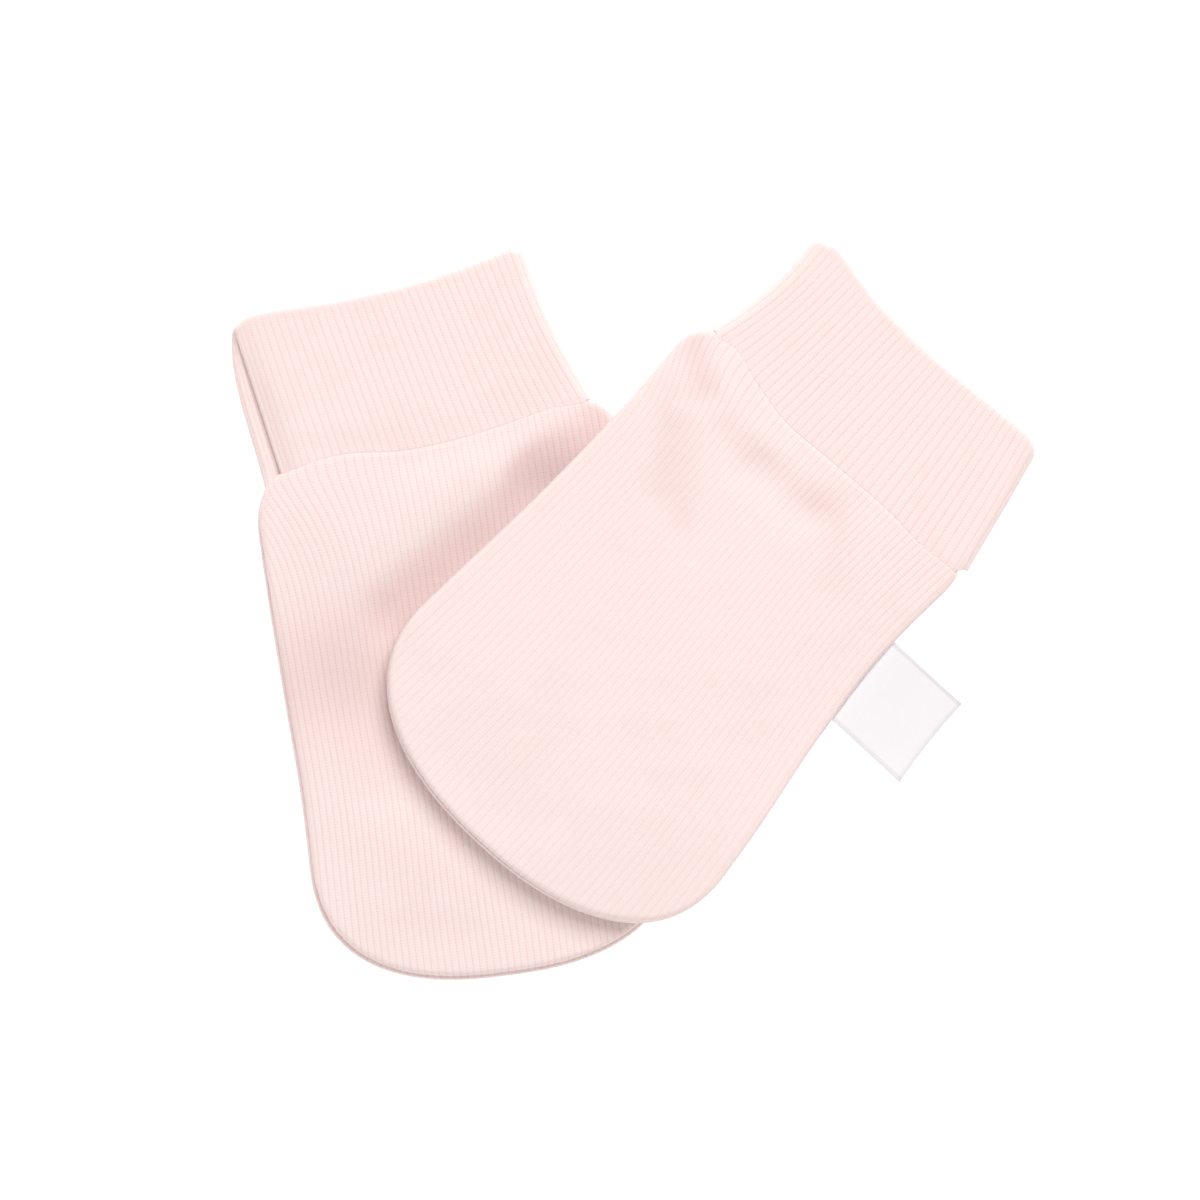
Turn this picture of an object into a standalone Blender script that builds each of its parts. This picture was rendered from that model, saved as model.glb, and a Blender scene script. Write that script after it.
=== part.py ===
"""A pair of baby mittens in rib knit, laid flat, one resting across the other.

Each mitten is cut and sewn as a real one: a front and a back panel joined round the sides and the
rounded tip, and a cuff band folded double at its mouth. A folded ribbon label stands in the side seam of
the upper mitten. The sizes below are in millimetres, and the model is built in metres, +Z up, with the
lower mitten and the free side of the upper one resting on z = 0.

A mitten's own plane has s along its length, from the wrist towards the tip, and w across it. Across a
panel, r runs from -1 at the left seam to 1 at the right seam.
"""

import math
from collections import namedtuple

import bmesh
import bpy
import numpy as np

MM = 0.001

# Cloth and seams
PANEL_WALL = 1.1
CUFF_WALL = 2.1
EDGE_ROLL = 1.3  # radius at which a panel rolls over to its seam
SEAM_TURN = 145.0  # degrees that a panel's edge turns before it meets the other panel
WRIST_TURN = 84.0  # degrees that a panel's edge turns before it meets the cuff
TURN_CHANGE = 0.04  # share of the half width over which one turn becomes the other
SEAM_GAP = 0.3
LAY_GAP = 0.4  # between the two mittens where one lies on the other
ROLL_DROP = EDGE_ROLL * (1 - math.cos(math.radians(SEAM_TURN)))
EDGE_HEIGHT = 2 * ROLL_DROP + SEAM_GAP  # thickness of a hand at its seams

# Hand panels
TIP_DEPTH = 26.3  # length over which the sides turn into the tip
SHOULDER_POWER = 1.9
PUFF = 0.25  # how far a hand's middle stands above its seams
PUFF_REACH = 9.0  # how far from its seams a panel rises to its full height
INSET_START = 2.0  # s at which the front panel's left side starts to run in
INSET_REACH = 6.0  # length over which it does

# Cuff
CUFF_HEIGHT = 5.0
CUFF_END_ROUND = 1.2  # length over which a cuff's end rounds over
END_ROUND = ((0.0, 0.85), (0.4, 0.35))  # shares of that length, and of half the wall that is lost there
CUFF_SAG = 0.45  # how far the middle of a cuff sinks between its folded sides
SAG_START = 0.35  # where on its wave the sag starts at the wrist, and how much of it the cuff holds
SAG_SHARE = 0.4
LEDGE_INSET = 1.3  # how much further in the inside of a folded side lies where layers are staggered
LEDGE_LOWER = 0.62  # share of the height that the lower layer takes there
LEDGE_TURNS = (130.0, 12.0)  # degrees at which the upper layer ends and the lower one begins there
CUFF_CORNER = 1.3  # how much further the corners of a mouth turn back at their folded sides
CORNER_LIMIT = 1.2  # share of a side's radius past which they turn back no further
CORNER_POWER = 8  # how close to the mouth they start to
WRIST_POWER = 8  # how close to the wrist a folded side starts to follow the shoulder's round
SLOPE_STEP = 0.01  # step across a panel over which the slope of its wrist seam is taken

# Ribbon label
LABEL_WIDTH = 20.0
LABEL_REACH = 18.4
LABEL_WALL = 0.6
LABEL_LOOP = 0.45  # inner radius of the ribbon's fold
LABEL_TOP_SEAM = 20.6  # distance down the side seam at which the label starts
LABEL_PINCH = (0.8, 0.85)  # shares of its folded end's thickness that it has in the seam and half way out
LABEL_TURNS = 7
LABEL_CLEAR = 0.3  # how far above the surface the folded end lies

# How the upper mitten settles over the lower one
DRAPE_SLOPE = 0.2  # how steeply it falls to the surface, beside the lower one
DRAPE_ROUND = 10.0  # length over which it bends into that slope
DRAPE_FOOT = 0.8  # softness of the bend at the slope's foot
DRAPE_LEVEL = 0.55  # share of that fall that the front panel's middle doesn't follow
LEVEL_REACH = 16.0  # how far from its seams the front panel stops following it

# Rib knit, raised in the outer faces that show
RIB_HEIGHT = 0.24
HAND_RIBS = 52
CUFF_RIBS = 36

# Colours
KNIT_PINK = (0.93, 0.74, 0.71)
RIBBON_WHITE = (0.93, 0.92, 0.95)

# Mesh density
SHARP_ANGLE = 50.0
PLAIN_COLUMNS = 17
ROWS = 11
ROW_POWER = 1.4  # how much closer the rows lie at the wrist than at the tip
ROLL_STEPS = 3
CUFF_PLAIN = 13
CUFF_RINGS = 5
FOLD_STEPS = 6

# A side row holds the panel's reach to the left and right of its centre line at a distance s.
Side = namedtuple("Side", "s left right")
# A wrist row holds how far the wrist seam lies from s = 0 at a place r across the panel.
Wrist = namedtuple("Wrist", "r s")
# A mouth row holds how far the cuff's mouth stands past its straight line at a place a across it.
Mouth = namedtuple("Mouth", "a out")
# A fold is a soft ridge, or a trough if its height is negative, from one (w, s) to another.
Fold = namedtuple("Fold", "w0 s0 w1 s1 width height")
# How far the front panel's edge lies inside the back panel's, on the left side and round the tip.
Inset = namedtuple("Inset", "left tip")
# A cuff's mouth corners in the mitten's plane, the reach of its lower layer past the upper one on the
# left, and how far its sides bow outwards.
Cuff = namedtuple("Cuff", "left right ledge left_bow right_bow mouth")
# A tip's power is its roundness: 2 is an ellipse, and more is squarer.
Tip = namedtuple("Tip", "length power")
Mitten = namedtuple("Mitten", "origin heading sides tip wrist wrist_ends shoulders inset folds cuff")

LOWER = Mitten(
    origin=(-39.102, 33.08),
    heading=-82.5,
    sides=(
        Side(-4, 37.6, 35.2),
        Side(8, 36.9, 35.6),
        Side(22, 36.7, 35.7),
        Side(45, 36.0, 35.6),
        Side(68, 35.2, 35.4),
        Side(90, 35.6, 35.8),
        Side(108, 36.0, 36.2),
    ),
    tip=Tip(106.0, 2.5),
    wrist=(
        Wrist(-0.9, 3.5),
        Wrist(-0.7, 1.4),
        Wrist(-0.48, 0.5),
        Wrist(-0.2, 1.4),
        Wrist(0.0, 1.1),
        Wrist(0.36, -0.8),
        Wrist(0.7, -3.5),
        Wrist(0.9, -4.2),
    ),
    wrist_ends=(0.83, 0.84),
    shoulders=(13.0, 3.0),
    inset=Inset(0.9, 1.0),
    folds=(
        Fold(-27, 14, 26, -3, 8.0, 1.0),
        Fold(-18, 20, 6, 8, 7.5, 1.1),
        Fold(42, -6, 20, 11, 6.5, -2.0),
        Fold(20, 11, -12, 33, 6.5, -2.0),
        Fold(-34, 46, -12, 47, 11.0, -1.3),
        Fold(-25, 40, -20, 66, 9.0, -0.6),
        Fold(-20, 78, 10, 86, 10.0, 0.6),
        Fold(-18, 96, -6, 99, 4.0, -0.3),
    ),
    cuff=Cuff(
        left=(-36.3, -27.6),
        right=(19.3, -37.0),
        ledge=3.0,
        left_bow=0.0,
        right_bow=-1.2,
        mouth=(
            Mouth(-1.0, 1.5),
            Mouth(-0.96, 2.1),
            Mouth(-0.88, 2.4),
            Mouth(-0.7, 2.0),
            Mouth(-0.5, 1.1),
            Mouth(-0.2, 0.0),
            Mouth(0.0, -0.5),
            Mouth(0.3, -0.95),
            Mouth(0.6, -0.85),
            Mouth(0.9, -0.35),
            Mouth(1.0, -0.1),
        ),
    ),
)

UPPER = Mitten(
    origin=(41.398, 31.68),
    heading=-132.5,
    sides=(
        Side(-4, 38.4, 34.2),
        Side(6, 37.4, 33.2),
        Side(22, 36.8, 32.4),
        Side(45, 37.2, 34.2),
        Side(68, 38.7, 37.6),
        Side(90, 40.2, 39.8),
        Side(108, 41.6, 41.2),
    ),
    tip=Tip(105.3, 2.25),
    wrist=(
        Wrist(-0.9, 0.4),
        Wrist(-0.75, -0.2),
        Wrist(-0.58, 1.8),
        Wrist(-0.3, 4.0),
        Wrist(0.05, 3.7),
        Wrist(0.5, 3.2),
        Wrist(0.75, 3.5),
        Wrist(0.95, 2.8),
    ),
    wrist_ends=(0.86, 0.975),
    shoulders=(7.0, 7.5),
    inset=Inset(0.0, 0.7),
    folds=(
        Fold(-30, 5, -13, 8, 3.8, 0.25),
        Fold(-13, 8, 6, 9, 3.4, 0.22),
        Fold(6, 9, 27, 3, 3.2, 0.2),
        Fold(-20, 14, -11, 14, 4.0, -0.4),
        Fold(-11, 14, 3, 13, 4.2, -0.5),
        Fold(3, 13, 8, 7, 3.4, -0.4),
        Fold(8, 12, 16, 22, 4.0, -0.4),
        Fold(-34, 17, -22, 32, 3.2, -0.6),
        Fold(-27, 20, -14, 34, 3.6, -0.5),
        Fold(-37, 6, -29, 11, 3.6, -1.1),
        Fold(-25, 80, 20, 86, 12.0, 0.35),
    ),
    cuff=Cuff(
        left=(-30.0, -28.0),
        right=(26.4, -27.5),
        ledge=0.0,
        left_bow=-1.5,
        right_bow=0.2,
        mouth=(
            Mouth(-1.0, 0.9),
            Mouth(-0.95, 1.5),
            Mouth(-0.85, 1.3),
            Mouth(-0.7, 0.5),
            Mouth(-0.5, -0.6),
            Mouth(-0.25, -1.0),
            Mouth(0.0, -1.1),
            Mouth(0.3, -0.75),
            Mouth(0.5, -0.35),
            Mouth(0.85, 0.3),
            Mouth(0.95, 0.5),
            Mouth(1.0, 0.2),
        ),
    ),
)


def smooth_value(xs, ys, at):
    """A smooth curve through the points (xs, ys), read at each value of at and held past its ends."""
    xs, ys = np.asarray(xs, float), np.asarray(ys, float)
    slopes = np.gradient(ys, xs)
    at = np.clip(at, xs[0], xs[-1])
    i = np.clip(np.searchsorted(xs, at, side="right") - 1, 0, len(xs) - 2)
    span = xs[i + 1] - xs[i]
    t = (at - xs[i]) / span
    rise = t * t * (3 - 2 * t)
    return (
        ys[i] * (1 - rise)
        + ys[i + 1] * rise
        + slopes[i] * span * t * (1 - t) ** 2
        - slopes[i + 1] * span * t * t * (1 - t)
    )


def column(table, x, y, at):
    """The table's column y as a smooth function of its column x."""
    return smooth_value([getattr(row, x) for row in table], [getattr(row, y) for row in table], at)


def soft_rise(distance, reach):
    """0 with no slope at distance 0, rising to 1 well past reach."""
    t = np.maximum(distance, 0) / reach
    return t * t / (1 + t * t)


def axes_of(mitten):
    """Unit vectors along s and w, in the plan."""
    angle = math.radians(mitten.heading)
    along = np.array([math.cos(angle), math.sin(angle)])
    return along, np.array([-along[1], along[0]])


def to_plan(mitten, w, s):
    """Points (w, s) of the mitten's plane as (x, y)."""
    along, across = axes_of(mitten)
    return np.asarray(mitten.origin) + np.multiply.outer(s, along) + np.multiply.outer(w, across)


def line_at(mitten, w, s):
    """The panel's line r that passes through (w, s)."""
    left = column(mitten.sides, "s", "left", s)
    right = column(mitten.sides, "s", "right", s)
    return (2 * w - (right - left)) / (left + right)


def from_plan(mitten, plan):
    """w and s of the mitten's plane, and the panel's line r, at points (x, y)."""
    along, across = axes_of(mitten)
    away = plan - np.asarray(mitten.origin)
    w, s = away @ across, away @ along
    return w, s, line_at(mitten, w, s)


def across_at(mitten, r, s):
    """w of the panel's line r at distance s."""
    left = column(mitten.sides, "s", "left", s)
    right = column(mitten.sides, "s", "right", s)
    return ((right - left) + r * (right + left)) / 2


def tip_at(mitten, r):
    """s at which the panel's line r meets the tip."""
    length, power = mitten.tip
    share = (1 - np.abs(r) ** power) ** (1 / power)
    return length - TIP_DEPTH * (1 - share)


def wrist_end(mitten, r):
    """How far across the panel its wrist seam runs, on the side of r."""
    left, right = mitten.wrist_ends
    return np.where(np.asarray(r) < 0, left, right)


def wrist_at(mitten, r):
    """s at which the panel's line r starts, on the wrist seam or on the round of a shoulder."""
    end = wrist_end(mitten, r)
    seam = column(mitten.wrist, "r", "s", np.clip(r, -end, end))
    past = np.clip((np.abs(r) - end) / (1 - end), 0, 1)
    turn = 1 - (1 - past**SHOULDER_POWER) ** (1 / SHOULDER_POWER)
    left, right = mitten.shoulders
    return seam + (np.where(r < 0, left, right) - seam) * turn


def plain_lines(count):
    """Positions from -1 to 1, closer together towards both ends."""
    return np.sin(np.linspace(-1, 1, count) * math.pi / 2)


def rib_lines(ribs):
    """Positions from -1 to 1 along the crest and the trough of each rib, with one more at each end."""
    lines = np.linspace(-1, 1, 2 * ribs + 1)
    step = lines[1] + 1
    return np.concatenate([lines[:1], [-1 + step / 3], lines[1:-1], [1 - step / 3], lines[-1:]])


def rib_height(lines):
    """Height of the knit at each of the rib_lines: crests and troughs in turn, level at both ends."""
    height = np.where(np.arange(len(lines)) % 2 == 0, RIB_HEIGHT / 2, -RIB_HEIGHT / 2)
    height[[0, 1, -2, -1]] = 0
    return height


def panel_grid(mitten, lines, inset):
    """Arrays r, s, w of a grid over a hand panel, whose columns follow the ribs of the knit."""
    start, end = wrist_at(mitten, lines), tip_at(mitten, lines)
    q = np.linspace(0, 1, ROWS) ** ROW_POWER
    s = start[:, None] + (end - start)[:, None] * q
    r = np.repeat(lines[:, None], ROWS, axis=1)
    w = across_at(mitten, r, s)
    if inset:
        w = w + mitten.inset.left * ((1 - r) / 2) ** 3 * soft_rise(s - INSET_START, INSET_REACH)
        s = s - mitten.inset.tip * q**4
    return r, s, w


def fold_height(folds, w, s):
    """The height that the folds add at (w, s)."""
    total = np.zeros_like(w)
    for fold in folds:
        run = np.array([fold.w1 - fold.w0, fold.s1 - fold.s0], float)
        length = np.hypot(*run)
        run /= length
        along = (w - fold.w0) * run[0] + (s - fold.s0) * run[1]
        aside = (w - fold.w0) * run[1] - (s - fold.s0) * run[0]
        past = along - np.clip(along, 0, length)
        total += fold.height * np.exp(-(aside**2 + past**2) / fold.width**2)
    return total


def middle_rise(mitten, r, s, reach, wrist_reach):
    """0 at a hand's seams, rising softly to 1 in its middle."""
    half = (column(mitten.sides, "s", "left", s) + column(mitten.sides, "s", "right", s)) / 2
    return (
        soft_rise(half * (1 - np.abs(r)), reach)
        * soft_rise(tip_at(mitten, r) - s, reach)
        * soft_rise(s - wrist_at(mitten, r), wrist_reach)
    )


def front_height(mitten, folds, r, s, w):
    """Height of the front panel's outer face above whatever the mitten lies on."""
    rise = middle_rise(mitten, r, s, PUFF_REACH, PUFF_REACH / 3)
    return EDGE_HEIGHT + rise * (PUFF + fold_height(folds, w, s))


def rim_of(columns):
    """Grid indices (column, row) round the panel: wrist, right side, tip, left side."""
    rim = [(i, 0) for i in range(columns)]
    rim += [(columns - 1, j) for j in range(1, ROWS)]
    rim += [(i, ROWS - 1) for i in range(columns - 2, -1, -1)]
    rim += [(0, j) for j in range(ROWS - 2, 0, -1)]
    return rim


def rim_places(lines):
    """How far round the rim each of its points lies: 0 to 1 at the wrist, on to 4 back at its start."""
    across = (lines + 1) / 2
    along = np.linspace(0, 1, ROWS)
    return np.concatenate([across, 1 + along[1:], 3 - across[-2::-1], 4 - along[-2:0:-1]])


def outward(loop):
    """Unit normals of a closed loop of plan points, facing out of it."""
    ahead, behind = np.roll(loop, -1, axis=0), np.roll(loop, 1, axis=0)
    step = ahead - behind
    normal = np.stack([step[:, 1], -step[:, 0]], axis=1)
    normal /= np.linalg.norm(normal, axis=1)[:, None]
    centre = loop.mean(axis=0)
    facing = np.sign(np.sum((loop - centre) * normal))
    return normal * facing


def lattice_faces(first, columns):
    """Quads of a grid whose vertex (column, row) has the index first + column * ROWS + row."""
    corners = [first + i * ROWS + j for i in range(columns - 1) for j in range(ROWS - 1)]
    return [(k, k + 1, k + ROWS + 1, k + ROWS) for k in corners]


def band_faces(first, second):
    """Quads between two closed loops of vertex indices."""
    n = len(first)
    return [(first[i], first[(i + 1) % n], second[(i + 1) % n], second[i]) for i in range(n)]


def zip_faces(first, first_places, second, second_places):
    """Triangles between two closed loops with different numbers of points, paired by their places."""
    faces, i, j = [], 0, 0
    ends = first_places[0] + 4, second_places[0] + 4
    ahead = [*first_places, ends[0]], [*second_places, ends[1]]
    while i < len(first) or j < len(second):
        step_first = j == len(second) or (i < len(first) and ahead[0][i + 1] <= ahead[1][j + 1])
        a, b = first[i % len(first)], second[j % len(second)]
        if step_first:
            faces.append((a, first[(i + 1) % len(first)], b))
            i += 1
        else:
            faces.append((a, second[(j + 1) % len(second)], b))
            j += 1
    return faces


def make_object(name, points, faces, material):
    """A mesh object from points in millimetres, with its faces turned outwards."""
    mesh = bpy.data.meshes.new(name)
    mesh.from_pydata([tuple(p) for p in np.asarray(points) * MM], [], faces)
    work = bmesh.new()
    work.from_mesh(mesh)
    bmesh.ops.recalc_face_normals(work, faces=work.faces)
    work.to_mesh(mesh)
    work.free()
    mesh.shade_smooth()
    mesh.set_sharp_from_angle(angle=math.radians(SHARP_ANGLE))
    mesh.materials.append(material)
    made = bpy.data.objects.new(name, mesh)
    bpy.context.scene.collection.objects.link(made)
    return made


def edge_turns(mitten, rim, r):
    """Degrees that the panel's edge turns at each rim point: less along the wrist than at the seams."""
    turns = []
    for i, j in rim:
        past = (abs(r[i, 0]) - wrist_end(mitten, r[i, 0])) / TURN_CHANGE if j == 0 else 1
        turns.append(WRIST_TURN + (SEAM_TURN - WRIST_TURN) * min(1, max(0, past)))
    return np.array(turns)


def panel_face(mitten, front, base, lines, heights, radius, depth):
    """One face of a hand panel: its points, and its rings of indices from the grid's rim to the seam.

    base is as in panel_shell. heights is how far the face stands out along each of its lines, and depth
    how far it lies under the panel's outer face, where radius is that of its rolled edge.
    """
    r, s, w = panel_grid(mitten, lines, inset=front)
    plan = to_plan(mitten, w, s)
    rim = rim_of(len(lines))
    loop = np.array([plan[i, j] for i, j in rim])
    normals = outward(loop)
    turns = np.radians(edge_turns(mitten, rim, r))
    face = np.zeros_like(w)
    if front:
        under = base(plan.reshape(-1, 2)).reshape(w.shape)
        face = front_height(mitten, mitten.folds, r, s, w)
        face += DRAPE_LEVEL * middle_rise(mitten, r, s, LEVEL_REACH, LEVEL_REACH) * (under.max() - under)
    up = -1 if front else 1
    levels = np.array([face[i, j] for i, j in rim])
    raised = np.array([heights[i] for i, j in rim])

    surface = face + up * (depth - heights[:, None])
    points = [(*p, z) for p, z in zip(plan.reshape(-1, 2), surface.ravel())]
    rings = [[i * ROWS + j for i, j in rim]]
    for step in range(1, ROLL_STEPS + 1):
        turn = turns * step / ROLL_STEPS
        reach = radius + raised * (1 - step / ROLL_STEPS)
        spread = loop + normals * (reach * np.sin(turn))[:, None]
        height = levels + up * (EDGE_ROLL - reach * np.cos(turn))
        rings.append(list(range(len(points), len(points) + len(rim))))
        points += [(*p, z) for p, z in zip(spread, height)]
    if mitten.inset.left and not front:
        spread = spread - normals * shelf_reach(mitten, lines, rim, loop, normals)[:, None]
        rings.append(list(range(len(points), len(points) + len(rim))))
        points += [(*p, z) for p, z in zip(spread, height)]
    return points, rings


def panel_shell(mitten, front, base):
    """Points and faces of a hand panel: a wall over its grid, rolled over to the seams round its rim.

    base gives the height of whatever lies under a plan point. The front panel's outer face is ribbed.
    """
    plain = plain_lines(PLAIN_COLUMNS)
    lines = rib_lines(HAND_RIBS) if front else plain
    heights = rib_height(lines) if front else np.zeros(len(lines))
    outer_points, outer = panel_face(mitten, front, base, lines, heights, EDGE_ROLL, 0)
    level_in = np.zeros(len(plain))
    inner_radius = EDGE_ROLL - PANEL_WALL
    inner_points, inner = panel_face(mitten, front, base, plain, level_in, inner_radius, PANEL_WALL)
    start = len(outer_points)
    inner = [[k + start for k in ring] for ring in inner]

    points = np.array(outer_points + inner_points)
    points[:, 2] += base(points[:, :2])
    faces = lattice_faces(0, len(lines)) + lattice_faces(start, len(plain))
    for rings in (outer, inner):
        for a, b in zip(rings, rings[1:]):
            faces += band_faces(a, b)
    faces += zip_faces(outer[-1], rim_places(lines), inner[-1], rim_places(plain))
    return points, faces


def shelf_reach(mitten, lines, rim, loop, normals):
    """How far the back panel's edge runs in over the roll, at each rim point, to the front panel's seam."""
    r, s, w = panel_grid(mitten, lines, inset=True)
    plan = to_plan(mitten, w, s)
    front_loop = np.array([plan[i, j] for i, j in rim])
    return np.maximum(np.sum((loop - front_loop) * normals, axis=1), 0)


def fold_profile(height):
    """(out, z) points round a cuff's folded side, from its upper face down to its lower one."""
    radius = height / 2
    turns = np.linspace(0, math.pi, FOLD_STEPS + 1)
    return [(radius * math.sin(t), radius + radius * math.cos(t)) for t in turns]


def ledge_profile(height, reach):
    """As fold_profile, where the lower layer reaches further out and a groove lies between the layers."""
    low = height * LEDGE_LOWER / 2
    high = height / 2 - low
    half = FOLD_STEPS // 2
    ends = np.radians(LEDGE_TURNS)
    above = np.linspace(0, ends[0], half + 1)
    below = np.linspace(ends[1], math.pi, half)
    upper = [(high * math.sin(t), height - high + high * math.cos(t)) for t in above]
    lower = [(reach + low * math.sin(t), low + low * math.cos(t)) for t in below]
    return upper + lower


def inner_profile(height, ledge):
    """(out, z) points round the inside of a cuff's folded side, further in where the side has a groove."""
    radius = height / 2 - CUFF_WALL
    turns = np.linspace(0, math.pi, FOLD_STEPS + 1)
    inset = LEDGE_INSET if ledge else 0
    return [(radius * math.sin(t) - inset, height / 2 + radius * math.cos(t)) for t in turns]


def cuff_end(mitten, r):
    """s at which a cuff ends at the hand's line r, clear of the hand's rolled edge."""
    r = np.clip(r, -1 + SLOPE_STEP, 1 - SLOPE_STEP)
    s = wrist_at(mitten, r)
    near = r - SLOPE_STEP * np.where(r < 0, -1, 1)
    run = across_at(mitten, near, s) - across_at(mitten, r, s)
    slope = (wrist_at(mitten, near) - s) / run
    return s - EDGE_ROLL * np.sqrt(1 + slope**2) - SEAM_GAP


def cuff_line(mitten, a, t):
    """Points (w, s) across a cuff: a from -1 to 1 across it, t from 0 at the wrist to 1 at the mouth."""
    cuff = mitten.cuff
    r = a * wrist_end(mitten, a)
    wrist = np.stack([across_at(mitten, r, wrist_at(mitten, r)), cuff_end(mitten, r)], axis=-1)
    left, right = np.array(cuff.left), np.array(cuff.right)
    chord = (right - left) / np.linalg.norm(right - left)
    beyond = np.array([chord[1], -chord[0]])
    share = ((1 + a) / 2)[:, None]
    mouth = left * (1 - share) + right * share
    mouth = mouth + beyond * column(cuff.mouth, "a", "out", a)[:, None]
    bow = np.where(a < 0, -cuff.left_bow, cuff.right_bow) * np.abs(a) ** 3 * math.sin(math.pi * t)
    return wrist * (1 - t) + mouth * t + chord * bow[:, None]


def side_points(mitten, end, t, trim, inner, profile):
    """Points (w, s, z) round a cuff's folded side (end -1 left, 1 right), from its profile of (out, z).

    At the wrist they follow the round of the hand's shoulder.
    """
    start, mouth = (cuff_line(mitten, np.array([end]), k)[0] for k in (0, 1))
    length = math.dist(start, mouth)
    points = []
    for out, z in profile[1:-1]:
        back = CUFF_CORNER * min(CORNER_LIMIT, out / (CUFF_HEIGHT / 2)) ** 2 * t**CORNER_POWER
        reach = out + trim if inner else out * (1 - trim / (CUFF_HEIGHT / 2))
        ends = cuff_line(mitten, np.array([-1.0, 1.0]), t - back / length)
        chord = (ends[1] - ends[0]) / np.linalg.norm(ends[1] - ends[0])
        w, s = ends[(end + 1) // 2] + end * chord * reach
        if not inner:
            line = line_at(mitten, start[0] + end * reach, start[1])
            s += (cuff_end(mitten, line) - start[1]) * (1 - t) ** WRIST_POWER
        points.append((w, s, level(z, trim, inner)))
    return points


def cuff_ring(mitten, t, trim, inner, base):
    """One closed ring of a cuff's outer or inner face. trim takes that much off both faces' heights."""
    plain = plain_lines(CUFF_PLAIN)
    above = plain if inner else rib_lines(CUFF_RIBS)
    sag = CUFF_SAG * (1 - above**2) ** 2 * math.sin(math.pi * (SAG_START + SAG_SHARE * t))
    if inner:
        left = inner_profile(CUFF_HEIGHT, mitten.cuff.ledge)
        right = inner_profile(CUFF_HEIGHT, 0)
        top = CUFF_HEIGHT - CUFF_WALL - sag + trim
        bottom = CUFF_WALL - trim
    else:
        right = fold_profile(CUFF_HEIGHT)
        ledge = mitten.cuff.ledge * (1 - t**4)
        left = ledge_profile(CUFF_HEIGHT, ledge) if mitten.cuff.ledge else right
        top = CUFF_HEIGHT - sag - trim + rib_height(above) * (1 - trim / CUFF_WALL)
        bottom = trim
    ring = [(*p, z) for p, z in zip(cuff_line(mitten, above, t), top)]
    ring += side_points(mitten, 1, t, trim, inner, right)
    ring += [(*p, bottom) for p in cuff_line(mitten, plain[::-1], t)]
    ring += side_points(mitten, -1, t, trim, inner, left)[::-1]
    w, s, z = np.array(ring).T
    plan = to_plan(mitten, w, s)
    return np.column_stack([plan, z + base(plan)])


def ring_places(above):
    """How far round a cuff's ring each of its points lies, from 0 at the upper left to 4 back there."""
    side = np.linspace(0, 1, FOLD_STEPS + 1)[1:-1]
    across = (above + 1) / 2
    under = (1 - plain_lines(CUFF_PLAIN)[::-1]) / 2
    return np.concatenate([across, 1 + side, 2 + under, 3 + side])


def level(z, trim, inner):
    """A side point's height, moved towards the middle of the wall by trim."""
    middle = CUFF_HEIGHT / 2
    pull = trim * (z - middle) / middle
    return z + pull if inner else z - pull


def cuff_shell(mitten, base):
    """Points and faces of a cuff: a flattened tube whose wall rounds over at the wrist and the mouth."""
    length = float(np.linalg.norm(cuff_line(mitten, np.zeros(1), 1.0) - cuff_line(mitten, np.zeros(1), 0.0)))
    end = CUFF_END_ROUND / length
    rounded = [(share * end, lost * CUFF_WALL / 2) for share, lost in END_ROUND]
    stations = rounded + [(t, 0.0) for t in np.linspace(end, 1 - end, CUFF_RINGS)]
    stations += [(1 - t, trim) for t, trim in reversed(rounded)]
    points, faces, ends = [], [], []
    for inner, above in ((False, rib_lines(CUFF_RIBS)), (True, plain_lines(CUFF_PLAIN))):
        loops = []
        for t, trim in stations:
            ring = cuff_ring(mitten, t, 0 if inner and t < 0.5 else trim, inner, base)
            loops.append(list(range(len(points), len(points) + len(ring))))
            points += list(ring)
        for a, b in zip(loops, loops[1:]):
            faces += band_faces(a, b)
        ends.append((loops[0], loops[-1], ring_places(above)))
    (outer_wrist, outer_mouth, outer_places), (inner_wrist, inner_mouth, inner_places) = ends
    faces += zip_faces(outer_wrist, outer_places, inner_wrist, inner_places)
    faces += zip_faces(outer_mouth, outer_places, inner_mouth, inner_places)
    return np.array(points), faces


def floor_level(plan):
    """The surface that the mittens lie on."""
    return np.zeros(len(plan))


def distance_to_loop(plan, loop):
    """Distance from each point to the nearest edge of a closed loop."""
    nearest = np.full(len(plan), np.inf)
    for start, end in zip(loop, np.roll(loop, -1, axis=0)):
        edge = end - start
        share = np.clip((plan - start) @ edge / (edge @ edge), 0, 1)
        gap = np.linalg.norm(plan - start - share[:, None] * edge, axis=1)
        nearest = np.minimum(nearest, gap)
    return nearest


def draped_over(mitten):
    """A height function for cloth that lies over the mitten and slopes down to the surface beside it."""
    lines = plain_lines(PLAIN_COLUMNS)
    r, s, w = panel_grid(mitten, lines, inset=False)
    loop = np.array([to_plan(mitten, w, s)[i, j] for i, j in rim_of(len(lines))])
    ridges = [fold for fold in mitten.folds if fold.height > 0]

    def height(plan):
        w, s, r = from_plan(mitten, plan)
        r = np.clip(r, -1, 1)
        outside = (np.abs(r) == 1) | (s < wrist_at(mitten, r)) | (s > tip_at(mitten, r))
        away = np.where(outside, np.maximum(distance_to_loop(plan, loop) - EDGE_ROLL, 0), 0)
        drop = DRAPE_SLOPE * (np.sqrt(away**2 + DRAPE_ROUND**2) - DRAPE_ROUND)
        held = front_height(mitten, ridges, r, s, w) + RIB_HEIGHT / 2 + LAY_GAP - drop
        return np.logaddexp(0, held / DRAPE_FOOT) * DRAPE_FOOT

    return height


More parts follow.
